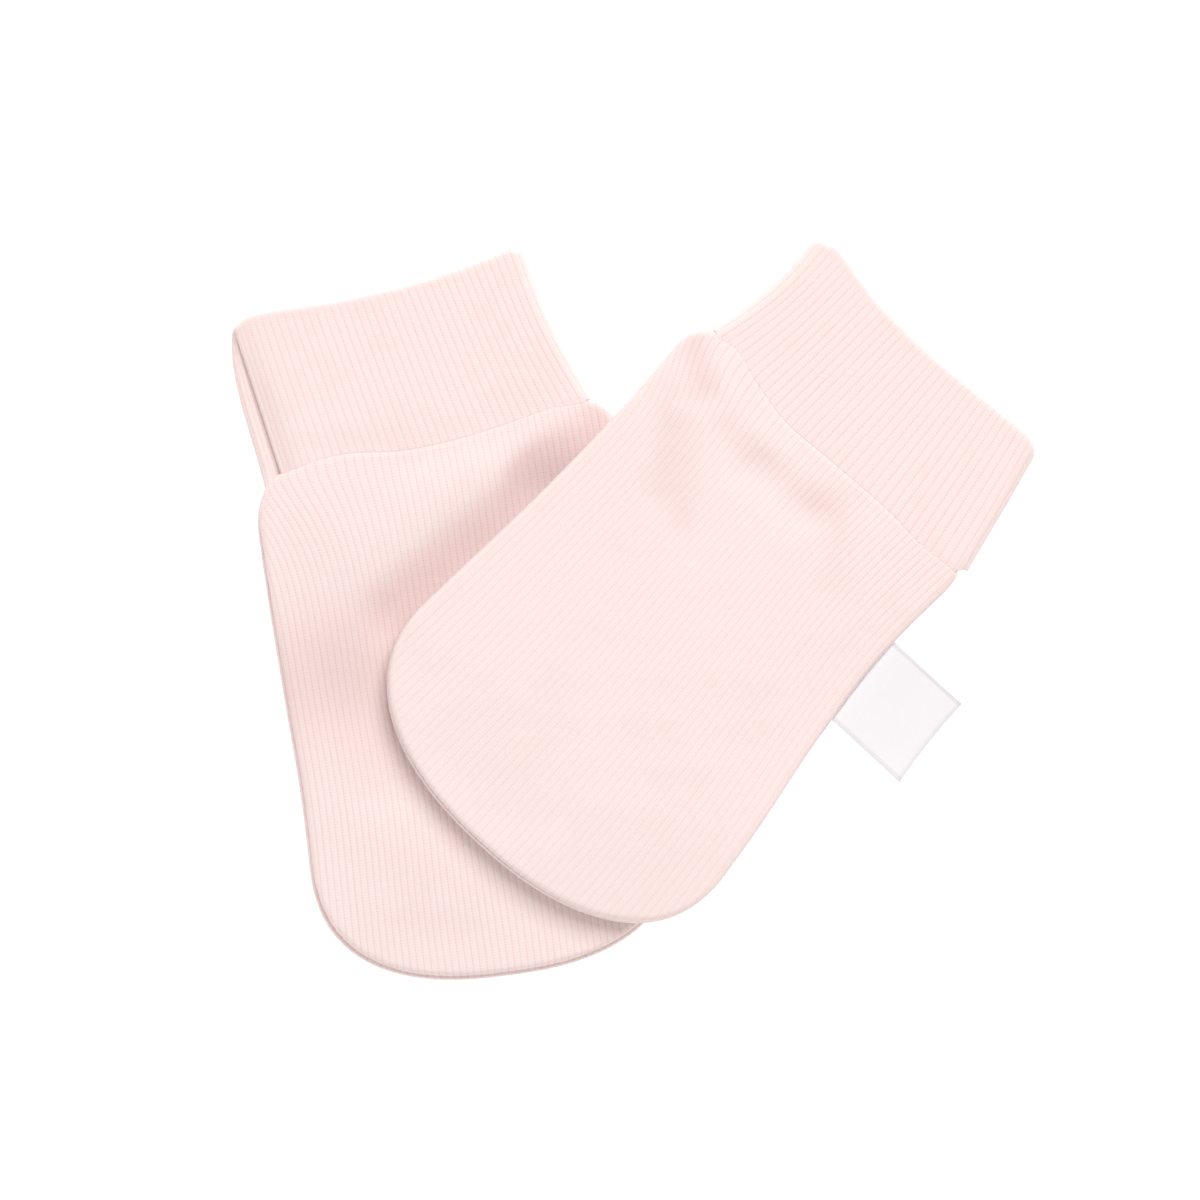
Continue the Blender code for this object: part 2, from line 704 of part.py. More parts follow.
def label_shell(mitten, base):
    """Points and faces of the ribbon label: a strip folded in half, its ends held in the side seam."""
    s = np.array([LABEL_TOP_SEAM, LABEL_TOP_SEAM + LABEL_WIDTH / 2, LABEL_TOP_SEAM + LABEL_WIDTH])
    starts = across_at(mitten, np.ones(3), s) + EDGE_ROLL + SEAM_GAP / 2
    outer = LABEL_LOOP + LABEL_WALL
    reach = LABEL_REACH - outer
    held = [(0.0, outer * LABEL_PINCH[0]), (reach / 2, outer * LABEL_PINCH[1])]
    turns = np.linspace(math.pi / 2, -math.pi / 2, LABEL_TURNS)
    outline = held + [(reach + outer * math.cos(t), outer * math.sin(t)) for t in turns]
    outline += [(out, -z) for out, z in reversed(held)]
    inside = [(out, z - LABEL_WALL) for out, z in held]
    inside += [(reach + LABEL_LOOP * math.cos(t), LABEL_LOOP * math.sin(t)) for t in turns]
    inside += [(out, LABEL_WALL - z) for out, z in reversed(held)]
    ring = outline + inside[::-1]
    points = []
    for place, start in zip(s, starts):
        for out, z in ring:
            plan = to_plan(mitten, np.array([start + out]), np.array([place]))
            fall = (EDGE_HEIGHT / 2 - outer - LABEL_CLEAR) * soft_rise(out, LABEL_REACH / 2)
            points.append((*plan[0], EDGE_HEIGHT / 2 + z - fall))
    points = np.array(points)
    points[:, 2] += base(points[:, :2])
    size = len(ring)
    loops = [list(range(k * size, (k + 1) * size)) for k in range(len(s))]
    faces = []
    for a, b in zip(loops, loops[1:]):
        faces += band_faces(a, b)
    half = len(outline)
    for loop in (loops[0], loops[-1]):
        faces += [(loop[k], loop[k + 1], loop[size - 2 - k], loop[size - 1 - k]) for k in range(half - 1)]
    return points, faces


def cloth_material(name, colour, roughness):
    """A plain cloth finish."""
    made = bpy.data.materials.new(name)
    made.use_nodes = True
    shader = made.node_tree.nodes["Principled BSDF"]
    shader.inputs["Base Color"].default_value = (*colour, 1)
    shader.inputs["Roughness"].default_value = roughness
    shader.inputs["Metallic"].default_value = 0
    return made


def build():
    for old in list(bpy.data.objects):
        bpy.data.objects.remove(old)
    hand = cloth_material("rib_knit", KNIT_PINK, 0.9)
    band = cloth_material("cuff_rib", KNIT_PINK, 0.9)
    satin = cloth_material("ribbon", RIBBON_WHITE, 0.45)

    shapes = {}
    shapes["lower_back"] = panel_shell(LOWER, False, floor_level)
    shapes["lower_front"] = panel_shell(LOWER, True, floor_level)
    shapes["lower_cuff"] = cuff_shell(LOWER, floor_level)
    over = draped_over(LOWER)
    shapes["upper_back"] = panel_shell(UPPER, False, over)
    shapes["upper_front"] = panel_shell(UPPER, True, over)
    shapes["upper_cuff"] = cuff_shell(UPPER, over)
    shapes["upper_label"] = label_shell(UPPER, over)
    for name, (points, faces) in shapes.items():
        part = name.split("_")[1]
        make_object(name, points, faces, {"cuff": band, "label": satin}.get(part, hand))


build()
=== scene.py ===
"""A pair of baby mittens in pale pink rib knit, laid flat, one resting across the other.

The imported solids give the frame, and each is replaced here by a finer piece of the same form: ribs as
real relief, stitches in the material, softer folds, and woven edges on the ribbon label. Sizes are in
millimetres, as in the part's source. A mitten's own plane has s along its length, from the wrist towards
the tip, and w across it. Across a panel, r runs from -1 at the left seam to 1 at the right seam.
"""

import math
from collections import namedtuple

import bmesh
import bpy
import numpy as np
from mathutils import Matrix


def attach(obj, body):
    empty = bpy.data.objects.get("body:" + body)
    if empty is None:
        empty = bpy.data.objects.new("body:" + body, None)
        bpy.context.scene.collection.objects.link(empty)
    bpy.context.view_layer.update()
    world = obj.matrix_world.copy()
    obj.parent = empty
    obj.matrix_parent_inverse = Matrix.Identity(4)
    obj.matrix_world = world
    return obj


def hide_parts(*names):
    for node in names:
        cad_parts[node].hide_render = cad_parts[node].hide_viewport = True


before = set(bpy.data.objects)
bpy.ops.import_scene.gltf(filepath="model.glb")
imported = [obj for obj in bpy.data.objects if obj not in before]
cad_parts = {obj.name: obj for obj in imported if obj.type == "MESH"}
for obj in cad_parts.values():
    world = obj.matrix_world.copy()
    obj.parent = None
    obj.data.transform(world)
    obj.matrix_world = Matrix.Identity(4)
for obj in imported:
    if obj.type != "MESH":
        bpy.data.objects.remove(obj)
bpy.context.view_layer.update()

MM = 0.001
TINY = 1e-9

# Cloth and seams, as in the solids
PANEL_WALL = 1.1
CUFF_WALL = 2.1
EDGE_ROLL = 1.3  # radius of a panel's rolled edge
SEAM_TURN = 145.0  # degrees that it turns to meet the other panel
WRIST_TURN = 84.0  # degrees that it turns to meet the cuff
TURN_CHANGE = 0.04  # share of the half width over which one turn becomes the other
SEAM_GAP = 0.3
SEAM_CLOSE = 0.12  # how far each panel's edge goes on into that gap
LAY_GAP = 0.4  # between the two mittens
ROLL_DROP = EDGE_ROLL * (1 - math.cos(math.radians(SEAM_TURN)))
EDGE_HEIGHT = 2 * ROLL_DROP + SEAM_GAP  # thickness of a hand at its seams

# Hand panels
HALF_WIDTH = 36.0  # of a hand, on average
TIP_DEPTH = 26.3  # length over which the sides turn into the tip
SHOULDER_POWER = 1.9
PUFF = 0.25  # how far a hand's middle stands above its seams
PUFF_REACH = 9.0  # how far from its seams it rises to that
INSET_START = 2.0  # s at which a front panel's left side runs in
INSET_REACH = 6.0  # length over which it does

# Cuff
CUFF_HEIGHT = 5.0
CUFF_END_ROUND = 1.2  # length over which a cuff's mouth rounds over
CUFF_SAG = 0.45  # how far the middle of a cuff sinks between its folded sides
SAG_START = 0.35  # where on its wave the sag starts, and how much of that the cuff holds
SAG_SHARE = 0.4
DIP_MIDDLE = 0.8  # share of a cuff's dip in its middle, and how much less it is to the right
DIP_LEAN = 0.4
DIP_REACH = 4.5  # how far from the wrist it reaches
LEDGE_INSET = 1.3  # how much further in a folded side's inside lies where layers are staggered
LEDGE_LOWER = 0.62  # share of the height that the lower layer takes there
LEDGE_TURNS = (130.0, 12.0)  # degrees at which the upper layer ends and the lower one begins
LEDGE_DROOP = 0.5  # how far the upper layer sinks towards the groove between them
LEDGE_SHADE = 0.9  # how strong the shade painted into that groove is, and its spread as a share of the folded side
LEDGE_SPREAD = 0.1
LEDGE_CROWD = 1.0  # how many more ribs the cloth beside it holds, and how far across that reaches
LEDGE_REACH = 0.08
CUFF_CORNER = 1.3  # how much further the corners of a mouth turn back at their folded sides
CORNER_LIMIT = 1.2  # share of a side's radius where that stops
CORNER_POWER = 8  # how close to the mouth they start to
WRIST_POWER = 8  # how close to the wrist a folded side starts to follow the shoulder
WRIST_GAP = 0.04  # between a cuff and the hand's rolled edge
LIP_START = 0.12  # how far from the wrist a cuff's face slopes down to its lip
LIP_DEPTH = 0.07  # how far below it the lip closes the crease
LIP_THICKNESS = 0.4
LIP_GAP = 0.01
SLOPE_STEP = 0.01  # step of r over which a slope is taken

# Ribbon label
LABEL_WIDTH = 20.0
LABEL_REACH = 18.4
LABEL_WALL = 0.6
LABEL_LOOP = 0.45  # inner radius of the ribbon's fold
LABEL_TOP_SEAM = 20.6  # distance down the side seam at which the label starts
LABEL_PINCH = 0.8  # share of its full thickness that it has in the seam
LABEL_OPENING = (0.05, 0.15)  # how much that grows by half way out, and towards the end
LABEL_CLEAR = 0.3  # how far above the surface the folded end lies
LABEL_CURL = 0.5  # how far that end's corners stand up

# How the upper mitten settles over the lower one
DRAPE_SLOPE = 0.2  # how steeply it falls beside that one
DRAPE_ROUND = 10.0  # length over which it bends into that slope
DRAPE_FOOT = 0.8  # softness of the bend at the slope's foot
DRAPE_LEVEL = 0.55  # share of that fall that the front panel's middle doesn't follow
LEVEL_REACH = 16.0  # how far from its seams the front panel stops following it

# Knit
HAND_RIBS = 52
CUFF_RIBS = 36
SIDE_RIBS = 5  # ribs round a cuff's folded side, and round one whose layers are staggered
LEDGE_RIBS = 9
RIB_HEIGHT = 0.115
RIB_POWER = 0.75  # less is flatter on top, with a narrower groove
COURSE = 0.6  # length of one row of stitches
CUFF_RELIEF = 0.75  # how crisp a cuff's ribs are, and how far into a hand they stay so
CRISP_REACH = 22.0
SEAM_FADE = 0.9  # length over which ribs rise from a wrist seam, and what is left there
SEAM_RELIEF = 0.15
INNER_RELIEF = 0.4  # share of the ribs' height on a cuff's inside
RIM_REACH = 1.7  # how far from a mouth's fold its ribs stay soft, and how strong the shade painted there is
RIM_SHADE = 0.3
RIM_SOFTEN = 0.8  # share of the ribs' height that is lost there
RIM_MIDDLE = 0.45  # how strong that is in a cuff's middle, and the width over which it falls by 1
RIM_WIDTH = 40.0
PAINTED_SHADE_DEPTH = 2.0  # depth of a trough at which the shade painted into its cloth is strongest
SHADE_SHIFT = 3.0  # how far towards the wrist from a trough's middle that painted shade is strongest

# How far a rib strays, over what length, how that bends across the hand, and where it starts
WANDER = 0.14
WANDER_LENGTH = 7.3
WANDER_BEND = 2.2
WANDER_TURNS = 2.4
WANDER_START = 3.0

# Slight waviness: its height in the hands and in the cuffs, whose waves lie further aside
HAND_WAVES = 0.12
CUFF_WAVES = 0.1
CUFF_ASIDE = 40.0

# Mesh density
SHARP_ANGLE = 55.0
ROW_STEP = 1.0
RIB_SAMPLES = 6
ROLL_STEPS = 12
PLAIN_COLUMNS = 45
PLAIN_ROWS = 61
PLAIN_ROLL_STEPS = 3
OUTLINE_COLUMNS = 34
OUTLINE_ROWS = 22
TIP_EXTRA = 36  # lines added at the tip's corners, from this turn on, and at the shoulders
TIP_TURN = 0.55
SHOULDER_EXTRA = 22
LEAST_STEP = 2e-4
CUFF_ROWS = 34
CUFF_END_STEPS = 6
FOLD_STEPS = 52
NORMAL_ROUNDS = 3
LABEL_ROWS = 41
LABEL_STEPS = 24
LABEL_TURNS = 15

# Colours and finishes
KNIT_LIGHT = (0.895, 0.775, 0.76)
# The knit's deeper colour: its random tone and the shade painted between ribs and stitches mix towards it
KNIT_DEEP_TONE_AND_GROOVE_SHADE = (0.77, 0.52, 0.49)
# Painted shade: the tint multiplied into the knit's colour in troughs, in a folded side's groove and along a
# mouth's fold
PAINTED_SHADE_TINT = (0.89, 0.83, 0.835)
RIBBON_WHITE = (0.86, 0.86, 0.89)
RIBBON_DEEP = (0.68, 0.63, 0.68)
KNIT_SHADER = {
    "Roughness": 0.92,
    "Specular IOR Level": 0.2,
    "Subsurface Weight": 0.3,
    "Subsurface Radius": (0.8, 0.65, 0.6),
    "Subsurface Scale": 0.00025,
    "Sheen Weight": 0.15,
    "Sheen Roughness": 0.55,
    "Sheen Tint": (1.0, 0.93, 0.92, 1),
}
RIBBON_SHADER = {"Roughness": 0.42, "Anisotropic": 0.4, "Sheen Weight": 0.15}
SURFACE_SHADER = {
    "Base Color": (0.97, 0.955, 0.95, 1),
    "Roughness": 0.9,
    "Specular IOR Level": 0.1,
    "Emission Color": (1, 1, 1, 1),
    "Emission Strength": 0.45,
}
STITCH_SLANT = 0.9  # how far a stitch's legs lean along the rib
STITCH_RELIEF = 0.00005  # relief of stitches, nap and weave, in metres
NAP_RELIEF = 0.0003
WEAVE_RELIEF = 0.00009

# Ribbon weave: the spacing of its threads, its selvedge, and the fine line inside that
WARP_STEP = 0.22
WEFT_STEP = 0.3
SELVEDGE = 0.55
EDGE_LINE = 0.75
EDGE_LINE_HALF = 0.12

# Studio, in metres: a light's azimuth turns from +Y towards +X
SQUARE = ((-1, -1), (1, -1), (1, 1), (-1, 1))
SURFACE_SIZE = 3.0
SURFACE_DROP = 0.0002
FILL = 0.5
FILL_COLOUR = (1.0, 0.91, 0.88)
LIGHT_DISTANCE = 3.0
Light = namedtuple("Light", "name azimuth elevation power size")
LIGHTS = (
    Light("key", 20, 50, 68.0, 1.6),
    Light("fill", 212, 30, 21.0, 2.4),
)

# Camera: straight above, framing this width at the height of the cloth
VIEW_WIDTH = 240.0
VIEW_CENTRE = (-6.602, 2.076)
CAMERA_HEIGHT = 1200.0
CLOTH_HEIGHT = 5.0
SENSOR = 36.0
CLIP_START = 0.01

# A hand's reach to the left and right of its centre line at a distance s
Side = namedtuple("Side", "s left right")
# How far the wrist seam lies from s = 0 at a place r across the panel
Wrist = namedtuple("Wrist", "r s")
# How far a cuff's mouth stands past its straight line at a place a across it
Mouth = namedtuple("Mouth", "a out")
# A fold is a soft ridge, or a trough if its height is negative, from one (w, s) to another.
Fold = namedtuple("Fold", "w0 s0 w1 s1 width height")
# A wave runs in the direction turn, in degrees from w.
Wave = namedtuple("Wave", "turn length shift")
# How far the front panel's edge lies inside the back panel's, on the left side and at the tip
Inset = namedtuple("Inset", "left tip")
# A cuff's mouth corners, the reach of its lower layer past the upper one on the left, how far its sides
# bow outwards, and how far it dips at the wrist
Cuff = namedtuple("Cuff", "left right ledge left_bow right_bow mouth dip")
# A tip's power is its roundness: 2 is an ellipse, and more is squarer.
Tip = namedtuple("Tip", "length power")
# How many ribs the knit is drawn aside by at the left shoulder, and how far down and across that reaches
Drawn = namedtuple("Drawn", "ribs length width")
# relief is how crisp the ribs of the hand are, as a share of RIB_HEIGHT, and also how strong the shade
# painted between them is.
Mitten = namedtuple(
    "Mitten", "relief origin heading sides tip wrist wrist_ends shoulders drawn inset folds cuff"
)
# Places on a panel, and the counts of ribs and of rows of stitches there
Grid = namedtuple("Grid", "r s w rib course")
# The knit at each point: its counts of ribs and rows, how much shade is painted into it in troughs and
# creases, and how crisp its ribs are, which also scales the shade painted between them. around is the count
# of ribs round a tube.
Knit = namedtuple("Knit", "counts hollow crisp around")

WAVES = (
    Wave(20, 23, 0.4),
    Wave(75, 17, 2.1),
    Wave(130, 13, 4.0),
    Wave(160, 29, 5.2),
    Wave(50, 9, 1.1),
)

LOWER = Mitten(
    relief=0.8,
    origin=(-39.102, 33.08),
    heading=-82.5,
    sides=(
        Side(-4, 37.6, 35.2),
        Side(8, 36.9, 35.6),
        Side(22, 36.7, 35.7),
        Side(45, 36.0, 35.6),
        Side(68, 35.2, 35.4),
        Side(90, 35.6, 35.8),
        Side(108, 36.0, 36.2),
    ),
    tip=Tip(106.0, 2.5),
    wrist=(
        Wrist(-0.9, 3.5),
        Wrist(-0.7, 1.4),
        Wrist(-0.48, 0.5),
        Wrist(-0.2, 1.4),
        Wrist(0.0, 1.1),
        Wrist(0.36, -0.8),
        Wrist(0.7, -3.5),
        Wrist(0.9, -4.2),
    ),
    wrist_ends=(0.83, 0.84),
    shoulders=(13.0, 3.0),
    drawn=Drawn(5.0, 15.0, 0.5),
    inset=Inset(0.9, 1.0),
    folds=(
        Fold(-27, 14, 26, -3, 8.0, 1.0),
        Fold(-18, 20, 6, 8, 7.5, 1.1),
        Fold(42, -6, 20, 11, 6.5, -2.0),
        Fold(20, 11, -12, 33, 6.5, -2.0),
        Fold(-34, 46, -12, 47, 11.0, -1.3),
        Fold(-25, 40, -20, 66, 9.0, -0.6),
        Fold(-20, 78, 10, 86, 10.0, 0.6),
        Fold(-18, 96, -6, 99, 4.0, -0.3),
    ),
    cuff=Cuff(
        left=(-36.3, -27.6),
        right=(19.3, -37.0),
        ledge=3.0,
        left_bow=0.0,
        right_bow=-1.2,
        mouth=(
            Mouth(-1.0, 1.5),
            Mouth(-0.96, 2.1),
            Mouth(-0.88, 2.4),
            Mouth(-0.7, 2.0),
            Mouth(-0.5, 1.1),
            Mouth(-0.2, 0.0),
            Mouth(0.0, -0.5),
            Mouth(0.3, -0.95),
            Mouth(0.6, -0.85),
            Mouth(0.9, -0.35),
            Mouth(1.0, -0.1),
        ),
        dip=0.5,
    ),
)

UPPER = Mitten(
    relief=0.42,
    origin=(41.398, 31.68),
    heading=-132.5,
    sides=(
        Side(-4, 38.4, 34.2),
        Side(6, 37.4, 33.2),
        Side(22, 36.8, 32.4),
        Side(45, 37.2, 34.2),
        Side(68, 38.7, 37.6),
        Side(90, 40.2, 39.8),
        Side(108, 41.6, 41.2),
    ),
    tip=Tip(105.3, 2.25),
    wrist=(
        Wrist(-0.9, 0.4),
        Wrist(-0.75, -0.2),
        Wrist(-0.58, 1.8),
        Wrist(-0.3, 4.0),
        Wrist(0.05, 3.7),
        Wrist(0.5, 3.2),
        Wrist(0.75, 3.5),
        Wrist(0.95, 2.8),
    ),
    wrist_ends=(0.86, 0.975),
    shoulders=(7.0, 7.5),
    drawn=Drawn(4.5, 13.0, 0.45),
    inset=Inset(0.0, 0.7),
    folds=(
        Fold(-30, 5, -13, 8, 3.8, 0.25),
        Fold(-13, 8, 6, 9, 3.4, 0.22),
        Fold(6, 9, 27, 3, 3.2, 0.2),
        Fold(-20, 14, -11, 14, 4.0, -0.4),
        Fold(-11, 14, 3, 13, 4.2, -0.5),
        Fold(3, 13, 8, 7, 3.4, -0.4),
        Fold(8, 12, 16, 22, 4.0, -0.4),
        Fold(-34, 17, -22, 32, 3.2, -0.6),
        Fold(-27, 20, -14, 34, 3.6, -0.5),
        Fold(-37, 6, -29, 11, 3.6, -1.1),
        Fold(-25, 80, 20, 86, 12.0, 0.35),
    ),
    cuff=Cuff(
        left=(-30.0, -28.0),
        right=(26.4, -27.5),
        ledge=0.0,
        left_bow=-1.5,
        right_bow=0.2,
        mouth=(
            Mouth(-1.0, 0.9),
            Mouth(-0.95, 1.5),
            Mouth(-0.85, 1.3),
            Mouth(-0.7, 0.5),
            Mouth(-0.5, -0.6),
            Mouth(-0.25, -1.0),
            Mouth(0.0, -1.1),
            Mouth(0.3, -0.75),
            Mouth(0.5, -0.35),
            Mouth(0.85, 0.3),
            Mouth(0.95, 0.5),
            Mouth(1.0, 0.2),
        ),
        dip=0.25,
    ),
)


def smooth_value(xs, ys, at):
    """A smooth curve through the points (xs, ys), read at each value of at and held past its ends."""
    xs, ys = np.asarray(xs, float), np.asarray(ys, float)
    slopes = np.gradient(ys, xs)
    at = np.clip(at, xs[0], xs[-1])
    i = np.clip(np.searchsorted(xs, at, side="right") - 1, 0, len(xs) - 2)
    span = xs[i + 1] - xs[i]
    t = (at - xs[i]) / span
    rise = t * t * (3 - 2 * t)
    return (
        ys[i] * (1 - rise)
        + ys[i + 1] * rise
        + slopes[i] * span * t * (1 - t) ** 2
        - slopes[i + 1] * span * t * t * (1 - t)
    )


def column(table, x, y, at):
    """The table's column y as a smooth function of its column x."""
    return smooth_value([getattr(row, x) for row in table], [getattr(row, y) for row in table], at)


def soft_rise(distance, reach):
    """0 with no slope at distance 0, rising to 1 well past reach."""
    t = np.maximum(distance, 0) / reach
    return t * t / (1 + t * t)


def axes_of(mitten):
    """Unit vectors along s and w, in the plan."""
    angle = math.radians(mitten.heading)
    along = np.array([math.cos(angle), math.sin(angle)])
    return along, np.array([-along[1], along[0]])


def to_plan(mitten, w, s):
    """Points (w, s) of the mitten's plane as (x, y)."""
    along, across = axes_of(mitten)
    return np.asarray(mitten.origin) + np.multiply.outer(s, along) + np.multiply.outer(w, across)


def reaches(mitten, s):
    """How far a hand reaches to the left and right of its centre line at distance s."""
    return column(mitten.sides, "s", "left", s), column(mitten.sides, "s", "right", s)


def line_at(mitten, w, s):
    """The panel's line r that passes through (w, s)."""
    left, right = reaches(mitten, s)
    return (2 * w - (right - left)) / (left + right)


def from_plan(mitten, plan):
    """w and s of the mitten's plane, and the panel's line r, at points (x, y)."""
    along, across = axes_of(mitten)
    away = plan - np.asarray(mitten.origin)
    w, s = away @ across, away @ along
    return w, s, line_at(mitten, w, s)


def across_at(mitten, r, s):
    """w of the panel's line r at distance s."""
    left, right = reaches(mitten, s)
    return ((right - left) + r * (right + left)) / 2


def tip_at(mitten, r):
    """s at which the panel's line r meets the tip."""
    length, power = mitten.tip
    share = (1 - np.abs(r) ** power) ** (1 / power)
    return length - TIP_DEPTH * (1 - share)


def wrist_end(mitten, r):
    """How far across the panel its wrist seam runs, on the side of r."""
    left, right = mitten.wrist_ends
    return np.where(np.asarray(r) < 0, left, right)


def wrist_at(mitten, r):
    """s at which the panel's line r starts, on the wrist seam or on the round of a shoulder."""
    end = wrist_end(mitten, r)
    seam = column(mitten.wrist, "r", "s", np.clip(r, -end, end))
    past = np.clip((np.abs(r) - end) / (1 - end), 0, 1)
    turn = 1 - (1 - past**SHOULDER_POWER) ** (1 / SHOULDER_POWER)
    left, right = mitten.shoulders
    return seam + (np.where(r < 0, left, right) - seam) * turn


def fold_height(folds, w, s):
    """The height that the folds add at (w, s)."""
    total = np.zeros_like(w)
    for fold in folds:
        run = np.array([fold.w1 - fold.w0, fold.s1 - fold.s0], float)
        length = np.hypot(*run)
        run /= length
        along = (w - fold.w0) * run[0] + (s - fold.s0) * run[1]
        aside = (w - fold.w0) * run[1] - (s - fold.s0) * run[0]
        past = along - np.clip(along, 0, length)
        total += fold.height * np.exp(-(aside**2 + past**2) / fold.width**2)
    return total


def unevenness(w, s):
    """The slight waviness of cloth that was handled and laid down, from -1 to 1."""
    total = np.zeros_like(w)
    for wave in WAVES:
        way = math.radians(wave.turn)
        total += np.sin((w * math.cos(way) + s * math.sin(way)) * 2 * math.pi / wave.length + wave.shift)
    return total / len(WAVES)


def middle_rise(mitten, r, s, reach, wrist_reach):
    """0 at a hand's seams, rising softly to 1 in its middle."""
    half = sum(reaches(mitten, s)) / 2
    return (
        soft_rise(half * (1 - np.abs(r)), reach)
        * soft_rise(tip_at(mitten, r) - s, reach)
        * soft_rise(s - wrist_at(mitten, r), wrist_reach)
    )


def front_height(mitten, folds, r, s, w):
    """Height of the front panel's outer face above whatever the mitten lies on."""
    over = PUFF + fold_height(folds, w, s) + HAND_WAVES * unevenness(w, s)
    return EDGE_HEIGHT + middle_rise(mitten, r, s, PUFF_REACH, PUFF_REACH / 3) * over


def plain_lines(count):
    """Positions from -1 to 1, closer together towards both ends."""
    return np.sin(np.linspace(-1, 1, count) * math.pi / 2)


def rib_lines(mitten, ribs):
    """Positions from -1 to 1: several in each rib, with more where the outline turns a corner."""
    even = np.linspace(-1, 1, ribs * RIB_SAMPLES + 1)
    turns = np.linspace(TIP_TURN, math.pi / 2, TIP_EXTRA)
    corner = np.sin(turns) ** (2 / mitten.tip.power)
    found = [even, corner, -corner]
    for side, end in zip((-1, 1), mitten.wrist_ends):
        past = np.sin(np.linspace(0, math.pi / 2, SHOULDER_EXTRA)) ** (2 / SHOULDER_POWER)
        found.append(side * (end + (1 - end) * past))
    lines = np.unique(np.round(np.concatenate(found), 5))
    keep = np.concatenate([[True], np.diff(lines) > LEAST_STEP])
    keep[-1] = True
    return lines[keep]


def rib_profile(phase):
    """Height of the knit, from -1 in the groove between two ribs to 1 on a rib. A rib spans one unit."""
    return 2 * np.abs(np.sin(math.pi * phase)) ** RIB_POWER - 1


def panel_grid(mitten, lines, rows, inset):
    """A Grid over a hand panel, whose columns follow the ribs of the knit."""
    start, end = wrist_at(mitten, lines), tip_at(mitten, lines)
    q = np.linspace(0, 1, rows)
    s = start[:, None] + (end - start)[:, None] * q
    r = np.repeat(lines[:, None], rows, axis=1)
    w = across_at(mitten, r, s)
    drawn = mitten.drawn
    aside = np.exp(-((s / drawn.length) ** 2) - ((1 + r) / drawn.width) ** 2)
    rib = (r + 1) / 2 * HAND_RIBS + drawn.ribs * aside
    course = s / COURSE
    if inset:
        w = w + mitten.inset.left * ((1 - r) / 2) ** 3 * soft_rise(s - INSET_START, INSET_REACH)
        s = s - mitten.inset.tip * q**4
    bend = WANDER_BEND * np.sin(r * WANDER_TURNS)
    held = (1 - r**4) * soft_rise(s - start[:, None], WANDER_START)
    stray = WANDER * np.sin(s / WANDER_LENGTH + bend) * held
    return Grid(r, s, w + stray, rib, course)


def rim_of(columns, rows):
    """Grid indices (column, row) round the panel: wrist, right side, tip, left side."""
    rim = [(i, 0) for i in range(columns)]
    rim += [(columns - 1, j) for j in range(1, rows)]
    rim += [(i, rows - 1) for i in range(columns - 2, -1, -1)]
    rim += [(0, j) for j in range(rows - 2, 0, -1)]
    return np.array(rim)


def rim_places(lines, rows):
    """How far round the rim each of its points lies: 0 to 1 at the wrist, on to 4 back at its start."""
    across = (lines + 1) / 2
    along = np.linspace(0, 1, rows)
    return np.concatenate([across, 1 + along[1:], 3 - across[-2::-1], 4 - along[-2:0:-1]])


def outward(loop):
    """Unit normals of a closed loop of plan points, facing out of it."""
    step = np.roll(loop, -1, axis=0) - loop
    step /= np.maximum(np.linalg.norm(step, axis=1), TINY)[:, None]
    step = step + np.roll(step, 1, axis=0)
    normal = np.stack([step[:, 1], -step[:, 0]], axis=1)
    for _ in range(NORMAL_ROUNDS):
        normal = np.roll(normal, 1, axis=0) + 2 * normal + np.roll(normal, -1, axis=0)
        normal /= np.linalg.norm(normal, axis=1)[:, None]
    facing = np.sign(np.sum((loop - loop.mean(axis=0)) * normal))
    return normal * facing


def lattice_faces(first, columns, rows):
    """Quads of a grid whose vertex (column, row) has the index first + column * rows + row."""
    i, j = np.meshgrid(np.arange(columns - 1), np.arange(rows - 1), indexing="ij")
    k = (first + i * rows + j).ravel()
    return np.stack([k, k + 1, k + rows + 1, k + rows], axis=1)


def band_faces(first, second):
    """Quads between two closed loops of vertex indices."""
    first, second = np.asarray(first), np.asarray(second)
    return np.stack([first, np.roll(first, -1), np.roll(second, -1), second], axis=1)


def zip_faces(first, first_places, second, second_places):
    """Triangles between two closed loops with different numbers of points, paired by their places."""
    faces, i, j = [], 0, 0
    ahead = [*first_places, first_places[0] + 4], [*second_places, second_places[0] + 4]
    while i < len(first) or j < len(second):
        step_first = j == len(second) or (i < len(first) and ahead[0][i + 1] <= ahead[1][j + 1])
        a, b = first[i % len(first)], second[j % len(second)]
        if step_first:
            faces.append((a, first[(i + 1) % len(first)], b))
            i += 1
        else:
            faces.append((a, second[(j + 1) % len(second)], b))
            j += 1
    return np.array(faces)


def hand_relief(mitten, s):
    """How crisp a hand's ribs are at distance s: like the cuff's at the wrist, and softer further on."""
    return mitten.relief + (CUFF_RELIEF - mitten.relief) * np.exp(-((s / CRISP_REACH) ** 2))


def seam_relief(distance):
    """How much of the ribs' height is left at a distance from a wrist seam, which gathers them flat."""
    return SEAM_RELIEF + (1 - SEAM_RELIEF) * soft_rise(distance, SEAM_FADE)


def edge_turns(mitten, rim, r):
    """Degrees that the panel's edge turns at each rim point: less along the wrist than at the seams."""
    line = r[rim[:, 0], 0]
    past = np.where(rim[:, 1] == 0, (np.abs(line) - wrist_end(mitten, line)) / TURN_CHANGE, 1)
    return WRIST_TURN + (SEAM_TURN - WRIST_TURN) * np.clip(past, 0, 1)


def shelf_reach(mitten, lines, rows, rim, loop, normals):
    """How far the back panel's edge runs in over the roll, at each rim point, to the front panel's seam."""
    grid = panel_grid(mitten, lines, rows, inset=True)
    plan = to_plan(mitten, grid.w, grid.s)
    front_loop = plan[rim[:, 0], rim[:, 1]]
    return np.maximum(np.sum((loop - front_loop) * normals, axis=1), 0)


